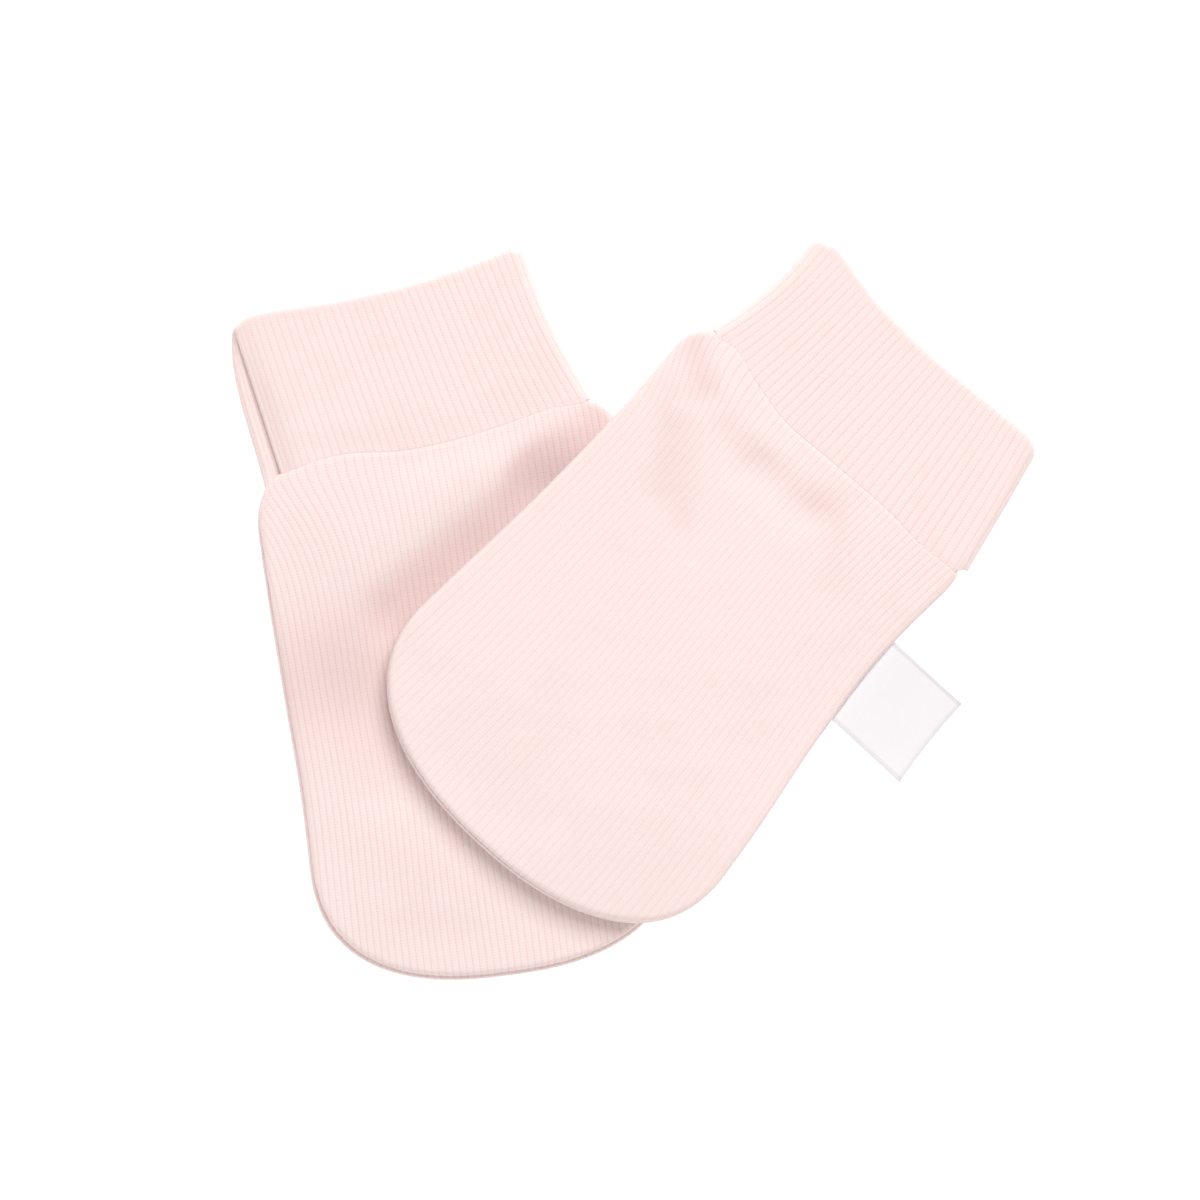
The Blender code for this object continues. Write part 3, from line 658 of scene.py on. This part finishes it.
def panel_face(mitten, front, base, lines, rows, ribbed, radius, depth):
    """One face of a hand panel: its points, their (rib, course), and its rings from the grid's rim out."""
    grid = panel_grid(mitten, lines, rows, inset=front)
    plan = to_plan(mitten, grid.w, grid.s)
    rim = rim_of(len(lines), rows)
    at = (rim[:, 0], rim[:, 1])
    loop = plan[at]
    normals = outward(loop)
    along, across = axes_of(mitten)
    turns = np.radians(edge_turns(mitten, rim, grid.r))
    up = -1 if front else 1
    closing = SEAM_CLOSE * (turns - math.radians(WRIST_TURN)) / math.radians(SEAM_TURN - WRIST_TURN)
    face = np.zeros_like(grid.w)
    if front:
        under = base(plan.reshape(-1, 2)).reshape(face.shape)
        face = front_height(mitten, mitten.folds, grid.r, grid.s, grid.w)
        rise = middle_rise(mitten, grid.r, grid.s, LEVEL_REACH, LEVEL_REACH)
        face += DRAPE_LEVEL * rise * (under.max() - under)
    height = RIB_HEIGHT / 2 if ribbed else 0
    lift = height * hand_relief(mitten, grid.s) * seam_relief(grid.s - wrist_at(mitten, grid.r))
    sink = 0 if front else height
    relief = lift * rib_profile(grid.rib) - sink

    flat = plan.reshape(-1, 2)
    points = [np.column_stack([flat, (face + up * depth - up * relief).ravel()])]
    knit = [np.column_stack([grid.rib.ravel(), grid.course.ravel()])]
    rings = [rim[:, 0] * rows + rim[:, 1]]
    count = len(flat)
    steps = ROLL_STEPS if ribbed else PLAIN_ROLL_STEPS
    for step in range(1, steps + 1):
        turn = turns * step / steps
        arc = EDGE_ROLL * turn
        rib = grid.rib[at] + arc * (normals @ across) * HAND_RIBS / (2 * HALF_WIDTH)
        course = grid.course[at] + arc * (normals @ along) / COURSE
        reach = radius + (lift[at] * rib_profile(rib) - sink) * (1 - (step / steps) ** 3)
        spread = loop + normals * (reach * np.sin(turn))[:, None]
        level = face[at] + up * (EDGE_ROLL - reach * np.cos(turn) + closing * (step / steps) ** 2)
        points.append(np.column_stack([spread, level]))
        knit.append(np.column_stack([rib, course]))
        rings.append(np.arange(count, count + len(rim)))
        count += len(rim)
    if mitten.inset.left and not front:
        spread = spread - normals * shelf_reach(mitten, lines, rows, rim, loop, normals)[:, None]
        points.append(np.column_stack([spread, level]))
        knit.append(knit[-1])
        rings.append(np.arange(count, count + len(rim)))
    return np.concatenate(points), np.concatenate(knit), rings


def panel_shell(mitten, front, base):
    """Points, faces and knit of a hand panel: a wall rolled over to the seams round its rim."""
    plain = plain_lines(PLAIN_COLUMNS)
    lines = rib_lines(mitten, HAND_RIBS)
    rows = int(mitten.tip.length / ROW_STEP)
    outer_points, outer_knit, outer = panel_face(mitten, front, base, lines, rows, True, EDGE_ROLL, 0)
    inner_radius = EDGE_ROLL - PANEL_WALL
    inner_points, inner_knit, inner = panel_face(
        mitten, front, base, plain, PLAIN_ROWS, False, inner_radius, PANEL_WALL
    )
    start = len(outer_points)
    inner = [ring + start for ring in inner]
    points = np.concatenate([outer_points, inner_points])
    points[:, 2] += base(points[:, :2])
    quads = [lattice_faces(0, len(lines), rows), lattice_faces(start, len(plain), PLAIN_ROWS)]
    for rings in (outer, inner):
        quads += [band_faces(a, b) for a, b in zip(rings, rings[1:])]
    triangles = zip_faces(outer[-1], rim_places(lines, rows), inner[-1], rim_places(plain, PLAIN_ROWS))
    w, s, _ = from_plan(mitten, points[:, :2])
    # Painted shade: front panels are darker in their troughs, on the wrist side where the slope faces away
    # from the light
    trough_shade = np.clip(-fold_height(mitten.folds, w, s + SHADE_SHIFT) / PAINTED_SHADE_DEPTH, 0, 1)
    hollow = trough_shade if front else np.zeros(len(points))
    crisp = hand_relief(mitten, s)
    knit = Knit(np.concatenate([outer_knit, inner_knit]), hollow, crisp, 0)
    return points, [np.concatenate(quads), triangles], knit


def fold_profile(wall, inset):
    """(out, z) points round a cuff's folded side from above, on a face this far inside its outer one."""
    radius = CUFF_HEIGHT / 2 - wall
    turns = np.linspace(0, math.pi, FOLD_STEPS + 1)
    return np.stack([radius * np.sin(turns) - inset, CUFF_HEIGHT / 2 + radius * np.cos(turns)], axis=1)


def ledge_profile(reach, droop):
    """As fold_profile, where the lower layer reaches further out, with where the groove above it lies.

    The points are evenly spaced, and the upper layer droops towards the groove.
    """
    low = CUFF_HEIGHT * LEDGE_LOWER / 2
    high = CUFF_HEIGHT / 2 - low
    above = np.linspace(0, math.radians(LEDGE_TURNS[0]), FOLD_STEPS)
    below = np.linspace(math.radians(LEDGE_TURNS[1]), math.pi, FOLD_STEPS)
    upper = np.stack([high * np.sin(above), CUFF_HEIGHT - droop - high + high * np.cos(above)], axis=1)
    lower = np.stack([reach + low * np.sin(below), low + low * np.cos(below)], axis=1)
    line = np.concatenate([upper, lower])
    run = np.concatenate([[0], np.cumsum(np.linalg.norm(np.diff(line, axis=0), axis=1))])
    even = np.linspace(0, run[-1], FOLD_STEPS + 1)
    points = np.stack([np.interp(even, run, line[:, 0]), np.interp(even, run, line[:, 1])], axis=1)
    return points, run[FOLD_STEPS - 1] / run[-1]


def seam_stretch(mitten, r):
    """How much longer a distance square to the wrist seam is when it is taken along s, at the line r."""
    s = wrist_at(mitten, r)
    near = r - SLOPE_STEP * np.where(r < 0, -1, 1)
    run = across_at(mitten, near, s) - across_at(mitten, r, s)
    return np.sqrt(1 + ((wrist_at(mitten, near) - s) / run) ** 2)


def cuff_end(mitten, r):
    """s at which a cuff ends at the hand's line r, clear of the hand's rolled edge."""
    r = np.clip(r, -1 + SLOPE_STEP, 1 - SLOPE_STEP)
    return wrist_at(mitten, r) - EDGE_ROLL * seam_stretch(mitten, r) - WRIST_GAP


def cuff_line(mitten, a, t):
    """Points (w, s) across a cuff: a from -1 to 1 across it, t from 0 at the wrist to 1 at the mouth."""
    cuff = mitten.cuff
    r = a * wrist_end(mitten, a)
    wrist = np.stack([across_at(mitten, r, wrist_at(mitten, r)), cuff_end(mitten, r)], axis=-1)
    left, right = np.array(cuff.left), np.array(cuff.right)
    chord = (right - left) / np.linalg.norm(right - left)
    beyond = np.array([chord[1], -chord[0]])
    share = ((1 + a) / 2)[:, None]
    mouth = left * (1 - share) + right * share
    mouth = mouth + beyond * column(cuff.mouth, "a", "out", a)[:, None]
    bow = np.where(a < 0, -cuff.left_bow, cuff.right_bow) * np.abs(a) ** 3 * math.sin(math.pi * t)
    return wrist * (1 - t) + mouth * t + chord * bow[:, None]


def cuff_length(mitten):
    """Length of a cuff along its middle, from the wrist to the mouth."""
    return math.dist(*(cuff_line(mitten, np.zeros(1), t)[0] for t in (0, 1)))


def side_points(mitten, end, t, trim, inner, profile):
    """Points round one folded side of a cuff (end -1 left, 1 right), from its profile of (out, z).

    At the wrist they follow the round of the hand's shoulder.
    """
    start, mouth = (cuff_line(mitten, np.array([end]), k)[0] for k in (0, 1))
    length = math.dist(start, mouth)
    middle = CUFF_HEIGHT / 2
    out, z = profile[1:-1].T
    reach = out + trim if inner else out * (1 - trim / middle)
    back = CUFF_CORNER * np.minimum(CORNER_LIMIT, out / middle) ** 2 * t**CORNER_POWER
    points = []
    for reach_out, turned in zip(reach, back):
        ends = cuff_line(mitten, np.array([-1.0, 1.0]), t - turned / length)
        chord = (ends[1] - ends[0]) / np.linalg.norm(ends[1] - ends[0])
        points.append(ends[(end + 1) // 2] + end * chord * reach_out)
    points = np.array(points)
    if not inner:
        at_wrist = start[0] + end * reach
        ahead = cuff_end(mitten, line_at(mitten, at_wrist, start[1])) - start[1]
        points[:, 1] += ahead * (1 - t) ** WRIST_POWER
    pull = trim * (z - middle) / middle
    return np.column_stack([points, z + pull if inner else z - pull])


def cuff_ring(mitten, t, trim, inner):
    """One closed ring (w, s, z) of a cuff's outer or inner face, its rib counts and the shade painted into
    it.
    """
    ledge = mitten.cuff.ledge
    lines = np.linspace(-1, 1, CUFF_RIBS * RIB_SAMPLES + 1)
    side = np.linspace(0, 1, FOLD_STEPS + 1)[1:-1]
    sag = CUFF_SAG * (1 - lines**2) ** 2 * math.sin(math.pi * (SAG_START + SAG_SHARE * t))
    dip = mitten.cuff.dip * (1 - lines**4) * (DIP_MIDDLE - DIP_LEAN * lines)
    sag = sag + dip * math.exp(-((t * cuff_length(mitten) / DIP_REACH) ** 2))
    beside = np.zeros(len(lines))
    groove = np.zeros(len(side))
    if inner:
        left = fold_profile(CUFF_WALL, LEDGE_INSET * (ledge > 0))
        right = fold_profile(CUFF_WALL, 0)
        top = CUFF_HEIGHT - CUFF_WALL - sag + trim
        bottom = CUFF_WALL - trim
    else:
        left = right = fold_profile(0, 0)
        top = CUFF_HEIGHT - sag - trim
        bottom = trim
    if ledge and not inner:
        open_share = 1 - t**4
        left, groove_at = ledge_profile(ledge * open_share, LEDGE_DROOP * open_share)
        near = open_share * np.exp(-(((1 + lines) / LEDGE_REACH) ** 2))
        top = top - LEDGE_DROOP * near
        # Painted shade: darker in the groove between the staggered layers, and on the top beside it
        beside = LEDGE_SHADE / 2 * near
        groove = LEDGE_SHADE * open_share * np.exp(-(((side[::-1] - groove_at) / LEDGE_SPREAD) ** 2))
    line = cuff_line(mitten, lines, t)
    parts = [
        np.column_stack([line, top]),
        side_points(mitten, 1, t, trim, inner, right),
        np.column_stack([line[::-1], np.full(len(line), bottom)]),
        side_points(mitten, -1, t, trim, inner, left)[::-1],
    ]
    ribs = (lines + 1) / 2 * CUFF_RIBS
    crowd = LEDGE_CROWD * (ledge > 0) * np.exp(-(1 + lines) / LEDGE_REACH)
    left_ribs = LEDGE_RIBS if ledge else SIDE_RIBS
    half = CUFF_RIBS + SIDE_RIBS
    counts = [ribs - crowd, CUFF_RIBS + SIDE_RIBS * side, half + ribs, half + CUFF_RIBS + left_ribs * side]
    hollow = [beside, np.zeros(len(side) + len(line)), groove]
    around = half + CUFF_RIBS + left_ribs
    return np.concatenate(parts), np.concatenate(counts), np.concatenate(hollow), around


def ring_normals(ring):
    """Unit normals of a ring in the plane across the cuff, as (across the chord, up)."""
    across = ring[:, :2] - ring[0, :2]
    chord = ring[CUFF_RIBS * RIB_SAMPLES, :2] - ring[0, :2]
    chord = chord / np.linalg.norm(chord)
    flat = np.stack([across @ chord, ring[:, 2]], axis=1)
    step = np.roll(flat, -1, axis=0) - np.roll(flat, 1, axis=0)
    normal = np.stack([-step[:, 1], step[:, 0]], axis=1)
    normal /= np.maximum(np.linalg.norm(normal, axis=1), TINY)[:, None]
    return normal, chord


def lip_reach(mitten, ring):
    """How far a cuff's end reaches in over the hand's rolled edge at each ring point, just clear of it."""
    w, s, z = ring.T
    depth = np.minimum(z, EDGE_HEIGHT - z)
    beside = np.maximum(EDGE_ROLL - depth, 0)
    over = EDGE_ROLL - np.sqrt((EDGE_ROLL + LIP_GAP) ** 2 - beside**2)
    line = np.clip(line_at(mitten, w, s), -1 + SLOPE_STEP, 1 - SLOPE_STEP)
    return WRIST_GAP + over * seam_stretch(mitten, line)


def cuff_shell(mitten, base):
    """Points, faces and knit of a cuff: a flattened tube folded double at its mouth."""
    length = cuff_length(mitten)
    start, end = LIP_START / length, CUFF_END_ROUND / length
    half_wall = CUFF_WALL / 2
    turns = np.linspace(0, math.pi / 2, CUFF_END_STEPS + 1)[1:]
    stations = [(0.0, LIP_DEPTH + LIP_THICKNESS), (0.0, LIP_DEPTH), (0.0, LIP_DEPTH / 4)]
    stations += [(t, 0.0) for t in np.linspace(start, 1 - end, CUFF_ROWS)]
    stations += [(1 - end * (1 - math.sin(k)), half_wall * (1 - math.cos(k))) for k in turns]
    passes = [(t, trim, False) for t, trim in stations]
    passes += [(t, trim, True) for t, trim in stations[::-1][1:] if t > 0]
    steps = np.abs(np.diff([t for t, _, _ in passes]))
    runs = np.concatenate([[0], np.cumsum(steps * length)])
    points, knit, loops, hollow, crisp = [], [], [], [], []
    for (t, trim, inner), run in zip(passes, runs):
        ring, ribs, depth, around = cuff_ring(mitten, t, trim, inner)
        lip = lip_reach(mitten, ring) * (trim == LIP_DEPTH)
        ring[:, 1] += lip
        normal, chord = ring_normals(ring)
        rim = np.clip(RIM_MIDDLE - ring[:, 0] / RIM_WIDTH, 0, 1)
        rim = rim * np.exp(-(((1 - t) * length / RIM_REACH) ** 2))
        fade = INNER_RELIEF if inner else (1 - RIM_SOFTEN * rim) * seam_relief(t * length)
        lift = (rib_profile(ribs) - (ring[:, 2] < CUFF_HEIGHT / 2)) * fade * CUFF_RELIEF * RIB_HEIGHT / 2
        lift = -lift if inner else lift
        ring[:, :2] += np.outer(normal[:, 0] * lift, chord)
        ring[:, 2] += normal[:, 1] * lift
        wave = CUFF_WAVES * unevenness(ring[:, 0] + CUFF_ASIDE, ring[:, 1]) * (1 - t) * t * 4
        ring[:, 2] += np.where(ring[:, 2] > CUFF_HEIGHT / 2, wave, 0)
        ring[:, 2] = np.maximum(ring[:, 2], 0)
        loops.append(np.arange(len(points) * len(ring), (len(points) + 1) * len(ring)))
        points.append(ring)
        knit.append(np.column_stack([ribs, (run - lip) / COURSE]))
        # Painted shade: the folded side's groove shade from cuff_ring, and more along a mouth's fold
        hollow.append(depth + RIM_SHADE * rim)
        crisp.append(CUFF_RELIEF * (1 - RIM_SOFTEN * rim))
    knit = Knit(np.concatenate(knit), np.concatenate(hollow), np.concatenate(crisp), around)
    points = np.concatenate(points)
    plan = to_plan(mitten, points[:, 0], points[:, 1])
    points = np.column_stack([plan, points[:, 2] + base(plan)])
    quads = [band_faces(a, b) for a, b in zip(loops, loops[1:] + loops[:1])]
    return points, [np.concatenate(quads)], knit


def floor_level(plan):
    """The surface that the mittens lie on."""
    return np.zeros(len(plan))


def distance_to_loop(plan, loop):
    """Distance from each point to the nearest edge of a closed loop."""
    nearest = np.full(len(plan), np.inf)
    for start, end in zip(loop, np.roll(loop, -1, axis=0)):
        edge = end - start
        share = np.clip((plan - start) @ edge / (edge @ edge), 0, 1)
        gap = np.linalg.norm(plan - start - share[:, None] * edge, axis=1)
        nearest = np.minimum(nearest, gap)
    return nearest


def draped_over(mitten):
    """A height function for cloth that lies over the mitten and slopes down to the surface beside it."""
    lines = plain_lines(OUTLINE_COLUMNS)
    grid = panel_grid(mitten, lines, OUTLINE_ROWS, inset=False)
    rim = rim_of(OUTLINE_COLUMNS, OUTLINE_ROWS)
    loop = to_plan(mitten, grid.w, grid.s)[rim[:, 0], rim[:, 1]]
    ridges = [fold for fold in mitten.folds if fold.height > 0]

    def height(plan):
        w, s, r = from_plan(mitten, plan)
        r = np.clip(r, -1, 1)
        outside = (np.abs(r) == 1) | (s < wrist_at(mitten, r)) | (s > tip_at(mitten, r))
        away = np.where(outside, np.maximum(distance_to_loop(plan, loop) - EDGE_ROLL, 0), 0)
        drop = DRAPE_SLOPE * (np.sqrt(away**2 + DRAPE_ROUND**2) - DRAPE_ROUND)
        held = front_height(mitten, ridges, r, s, w) + RIB_HEIGHT / 2 + LAY_GAP - drop
        return np.logaddexp(0, held / DRAPE_FOOT) * DRAPE_FOOT

    return height


def label_shell(mitten, base):
    """Points, faces and (across, along) of the ribbon label, folded in half with its ends in the seam."""
    s = np.linspace(LABEL_TOP_SEAM, LABEL_TOP_SEAM + LABEL_WIDTH, LABEL_ROWS)
    starts = across_at(mitten, np.ones(len(s)), s) + EDGE_ROLL + SEAM_GAP / 2
    outer = LABEL_LOOP + LABEL_WALL
    reach = LABEL_REACH - outer
    turns = np.linspace(math.pi / 2, -math.pi / 2, LABEL_TURNS)
    run = np.linspace(0, reach, LABEL_STEPS)[:-1]
    soon, late = LABEL_OPENING
    close = LABEL_PINCH + soon * np.minimum(1, run / reach * 2) + late * (run / reach) ** 2
    upper = np.stack([run, outer * close], axis=1)
    fold = np.stack([reach + outer * np.cos(turns), outer * np.sin(turns)], axis=1)
    outline = np.concatenate([upper, fold, upper[::-1] * (1, -1)])
    upper_in = upper - (0, LABEL_WALL)
    fold_in = np.stack([reach + LABEL_LOOP * np.cos(turns), LABEL_LOOP * np.sin(turns)], axis=1)
    inside = np.concatenate([upper_in, fold_in, upper_in[::-1] * (1, -1)])
    ring = np.concatenate([outline, inside[::-1]])
    along = np.concatenate([[0], np.cumsum(np.linalg.norm(np.diff(outline, axis=0), axis=1))])
    along = np.concatenate([along, along[::-1]])
    points, knit = [], []
    for place, start in zip(s, starts):
        plan = to_plan(mitten, start + ring[:, 0], np.full(len(ring), place))
        fall = (EDGE_HEIGHT / 2 - outer - LABEL_CLEAR) * soft_rise(ring[:, 0], LABEL_REACH / 2)
        share = (place - LABEL_TOP_SEAM) / LABEL_WIDTH
        curl = LABEL_CURL * (2 * share - 1) ** 2 * (ring[:, 0] / LABEL_REACH) ** 2
        points.append(np.column_stack([plan, EDGE_HEIGHT / 2 + ring[:, 1] - fall + curl]))
        knit.append(np.column_stack([np.full(len(ring), place - LABEL_TOP_SEAM), along]))
    size = len(ring)
    points = np.concatenate(points)
    points[:, 2] += base(points[:, :2])
    loops = [np.arange(k * size, (k + 1) * size) for k in range(len(s))]
    quads = [band_faces(a, b) for a, b in zip(loops, loops[1:])]
    half = len(outline)
    k = np.arange(half - 1)
    for loop in (loops[0], loops[-1]):
        quads.append(np.stack([loop[k], loop[k + 1], loop[size - 2 - k], loop[size - 1 - k]], axis=1))
    level = np.zeros(len(points))
    return points, [np.concatenate(quads)], Knit(np.concatenate(knit), level, level, 0)


def knit_corners(mesh, knit):
    """The rib and row count at each corner of the mesh's faces, unbroken where a tube's count starts anew."""
    corners = np.empty(len(mesh.loops), np.int32)
    mesh.loops.foreach_get("vertex_index", corners)
    counts = knit.counts[corners]
    if knit.around:
        ribs = counts[:, 0].reshape(-1, 4)
        behind = ribs.max(axis=1, keepdims=True) - ribs > knit.around / 2
        counts[:, 0] = (ribs + knit.around * behind).ravel()
    return counts


def make_object(name, points, faces, knit, material):
    """A smooth mesh object from points in millimetres, with its knit as a UV map and attributes."""
    mesh = bpy.data.meshes.new(name)
    rows = [tuple(f) for group in faces for f in group.tolist()]
    mesh.from_pydata((points * MM).tolist(), [], rows)
    mesh.validate()
    work = bmesh.new()
    work.from_mesh(mesh)
    bmesh.ops.recalc_face_normals(work, faces=work.faces)
    work.to_mesh(mesh)
    work.free()
    layer = mesh.uv_layers.new(name="Knit")
    layer.data.foreach_set("uv", knit_corners(mesh, knit).astype(np.float32).ravel())
    # Stored with the knit: the shade painted into troughs and creases, and how crisp the ribs are
    for label, values in (("Hollow", knit.hollow), ("Crisp", knit.crisp)):
        attribute = mesh.attributes.new(label, "FLOAT", "POINT")
        attribute.data.foreach_set("value", values.astype(np.float32))
    mesh.shade_smooth()
    mesh.set_sharp_from_angle(angle=math.radians(SHARP_ANGLE))
    mesh.materials.append(material)
    made = bpy.data.objects.new(name, mesh)
    bpy.context.scene.collection.objects.link(made)
    return made


class Nodes:
    """A material's node tree, with short calls for its maths."""

    def __init__(self, name, settings):
        self.material = bpy.data.materials.new(name)
        self.material.use_nodes = True
        self.tree = self.material.node_tree
        self.shader = self.tree.nodes["Principled BSDF"]
        for socket, value in settings.items():
            self.shader.inputs[socket].default_value = value

    def add(self, kind, **values):
        """A new node with these properties."""
        node = self.tree.nodes.new(kind)
        for key, value in values.items():
            setattr(node, key, value)
        return node

    def feed(self, socket, value):
        """Links the socket to another one, or sets it to a value."""
        if isinstance(value, bpy.types.NodeSocket):
            self.tree.links.new(value, socket)
        else:
            socket.default_value = value

    def math(self, operation, *values):
        """The result of one Math node."""
        node = self.add("ShaderNodeMath", operation=operation)
        for socket, value in zip(node.inputs, values):
            self.feed(socket, value)
        return node.outputs[0]

    def plus(self, first, second):
        return self.math("ADD", first, second)

    def minus(self, first, second):
        return self.math("SUBTRACT", first, second)

    def times(self, first, second):
        return self.math("MULTIPLY", first, second)

    def power(self, base, exponent):
        return self.math("POWER", base, exponent)

    def size(self, value):
        return self.math("ABSOLUTE", value)

    def ripple(self, place, length=1.0):
        """A wave from 0 to 1 whose humps are this long."""
        return self.size(self.math("SINE", self.times(place, math.pi / length)))

    def mix(self, share, first, second, blend="MIX"):
        """Two colours mixed."""
        node = self.add("ShaderNodeMix", data_type="RGBA", blend_type=blend)
        self.feed(node.inputs["Factor"], share)
        self.feed(node.inputs["A"], first)
        self.feed(node.inputs["B"], second)
        return node.outputs["Result"]

    def noise(self, scale, detail=2.0, roughness=0.5):
        """Noise over the object's own coordinates."""
        place = self.add("ShaderNodeTexCoord")
        node = self.add("ShaderNodeTexNoise")
        for socket, value in (("Scale", scale), ("Detail", detail), ("Roughness", roughness)):
            node.inputs[socket].default_value = value
        self.feed(node.inputs["Vector"], place.outputs["Object"])
        return node.outputs["Fac"]

    def bump(self, height, distance, strength, under=None):
        """A normal raised by height, on top of the normal under it."""
        node = self.add("ShaderNodeBump")
        node.inputs["Strength"].default_value = strength
        node.inputs["Distance"].default_value = distance
        self.feed(node.inputs["Height"], height)
        if under is not None:
            self.feed(node.inputs["Normal"], under)
        return node.outputs["Normal"]

    def attribute(self, name):
        """A value stored at the mesh's points."""
        return self.add("ShaderNodeAttribute", attribute_name=name).outputs["Fac"]

    def knit_counts(self):
        """The two counts of the mesh's UV map."""
        split = self.add("ShaderNodeSeparateXYZ")
        self.feed(split.inputs[0], self.add("ShaderNodeUVMap", uv_map="Knit").outputs[0])
        return split.outputs[0], split.outputs[1]


def knit_material(name):
    """Rib knit in fine yarn: V stitches on each rib, shade painted between ribs and in troughs and creases,
    and a soft nap.
    """
    n = Nodes(name, KNIT_SHADER)
    rib, course = n.knit_counts()
    sway = n.times(n.minus(n.noise(900.0), 0.5), 0.3)
    aside = n.size(n.minus(n.math("FRACT", rib), 0.5))
    spread = n.times(aside, 2.0)
    stitch = n.ripple(n.plus(n.plus(course, n.times(aside, STITCH_SLANT)), sway))
    groove = n.power(spread, 6.0)
    valley = n.power(n.minus(1.0, spread), 8.0)
    fibre = n.noise(5200.0, 3.0, 0.6)

    height = n.times(n.power(stitch, 0.6), n.minus(1.0, groove))
    height = n.minus(height, n.times(valley, 0.3))
    height = n.plus(height, n.times(fibre, 0.6))
    normal = n.bump(height, STITCH_RELIEF, 0.7)
    n.feed(n.shader.inputs["Normal"], n.bump(n.noise(260.0, 3.0), NAP_RELIEF, 0.25, normal))

    # Painted shade: the groove and stitch terms, scaled by Crisp, darken between ribs and between stitches;
    # the fibre and broad noise terms are the yarn's own random tone
    dots = n.minus(1.0, n.power(stitch, 1.5))
    shade = n.times(groove, n.plus(n.times(dots, 0.85), 0.2))
    shade = n.plus(shade, n.times(n.minus(1.0, stitch), 0.05))
    shade = n.plus(shade, n.times(n.minus(fibre, 0.5), 0.3))
    shade = n.times(shade, n.attribute("Crisp"))
    shade = n.plus(shade, n.times(n.minus(n.noise(55.0, 3.0), 0.5), 0.2))
    clamp = n.add("ShaderNodeClamp")
    n.feed(clamp.inputs[0], shade)
    colour = n.mix(clamp.outputs[0], (*KNIT_LIGHT, 1), (*KNIT_DEEP_TONE_AND_GROOVE_SHADE, 1))
    # Painted shade in troughs and creases, stored at the mesh's points
    colour = n.mix(n.attribute("Hollow"), colour, (*PAINTED_SHADE_TINT, 1), "MULTIPLY")
    n.feed(n.shader.inputs["Base Color"], colour)
    return n.material


def ribbon_material(name):
    """White woven satin ribbon, its fine selvedges ribbed along both edges."""
    n = Nodes(name, RIBBON_SHADER)
    across, along = n.knit_counts()
    warp, weft = n.ripple(across, WARP_STEP), n.ripple(along, WEFT_STEP)
    half = LABEL_WIDTH / 2
    from_edge = n.minus(half, n.size(n.minus(across, half)))
    edge = n.math("LESS_THAN", from_edge, SELVEDGE)
    line = n.math("LESS_THAN", n.size(n.minus(from_edge, EDGE_LINE)), EDGE_LINE_HALF)
    height = n.plus(n.times(warp, 0.35), n.times(weft, 0.3))
    height = n.plus(height, n.times(n.times(edge, weft), 1.2))
    height = n.minus(height, line)
    n.feed(n.shader.inputs["Normal"], n.bump(height, WEAVE_RELIEF, 0.6))
    shade = n.plus(n.times(line, 0.35), n.times(n.minus(1.0, weft), n.times(edge, 0.4)))
    colour = n.mix(shade, (*RIBBON_WHITE, 1), (*RIBBON_DEEP, 1))
    n.feed(n.shader.inputs["Base Color"], colour)
    return n.material


def add_stage():
    """The white surface, a large soft light high on the upper right, a weaker one opposite, and fill."""
    mesh = bpy.data.meshes.new("surface")
    corners = [(x * SURFACE_SIZE, y * SURFACE_SIZE, -SURFACE_DROP) for x, y in SQUARE]
    mesh.from_pydata(corners, [], [(0, 1, 2, 3)])
    mesh.materials.append(Nodes("white_surface", SURFACE_SHADER).material)
    floor = bpy.data.objects.new("surface", mesh)
    bpy.context.scene.collection.objects.link(floor)

    world = bpy.data.worlds.new("studio")
    world.use_nodes = True
    background = world.node_tree.nodes["Background"]
    background.inputs["Color"].default_value = (*FILL_COLOUR, 1)
    background.inputs["Strength"].default_value = FILL
    bpy.context.scene.world = world
    for row in LIGHTS:
        light = bpy.data.lights.new(row.name, "AREA")
        light.energy = row.power
        light.size = row.size
        lamp = bpy.data.objects.new(row.name, light)
        turn, rise = math.radians(row.azimuth), math.radians(row.elevation)
        place = np.array([math.sin(turn) * math.cos(rise), math.cos(turn) * math.cos(rise), math.sin(rise)])
        lamp.location = place * LIGHT_DISTANCE
        lamp.rotation_euler = (math.pi / 2 - rise, 0, math.pi - turn)
        bpy.context.scene.collection.objects.link(lamp)


def add_camera():
    """The camera looks straight down on the laid pair."""
    data = bpy.data.cameras.new("camera")
    data.sensor_width = SENSOR
    data.lens = SENSOR * (CAMERA_HEIGHT - CLOTH_HEIGHT) / VIEW_WIDTH
    data.clip_start = CLIP_START
    camera = bpy.data.objects.new("camera", data)
    camera.location = (VIEW_CENTRE[0] * MM, VIEW_CENTRE[1] * MM, CAMERA_HEIGHT * MM)
    bpy.context.scene.collection.objects.link(camera)
    bpy.context.scene.camera = camera
    view = bpy.context.scene.view_settings
    view.view_transform = "Standard"
    view.look = "None"
    view.exposure = 0.0


def add_piece(node, shell, material):
    """Puts a piece in place of the solid of this node."""
    piece = make_object(f"{node}_cloth", *shell, material)
    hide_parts(node)
    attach(piece, "root")
    return piece


def add_pieces():
    """Builds each piece and gives it the knit or ribbon material that it is made of."""
    hand = knit_material("hand_rib_knit")
    band = knit_material("cuff_rib_knit")
    ribbon = ribbon_material("satin_ribbon")
    over = draped_over(LOWER)
    for side, mitten, base in (("lower", LOWER, floor_level), ("upper", UPPER, over)):
        for front, face in ((False, "back"), (True, "front")):
            piece = add_piece(f"{side}_{face}", panel_shell(mitten, front, base), hand)
        node = f"{side}_cuff"
        piece = add_piece(node, cuff_shell(mitten, base), band)
    piece = add_piece("upper_label", label_shell(UPPER, over), ribbon)


add_stage()
add_camera()
add_pieces()
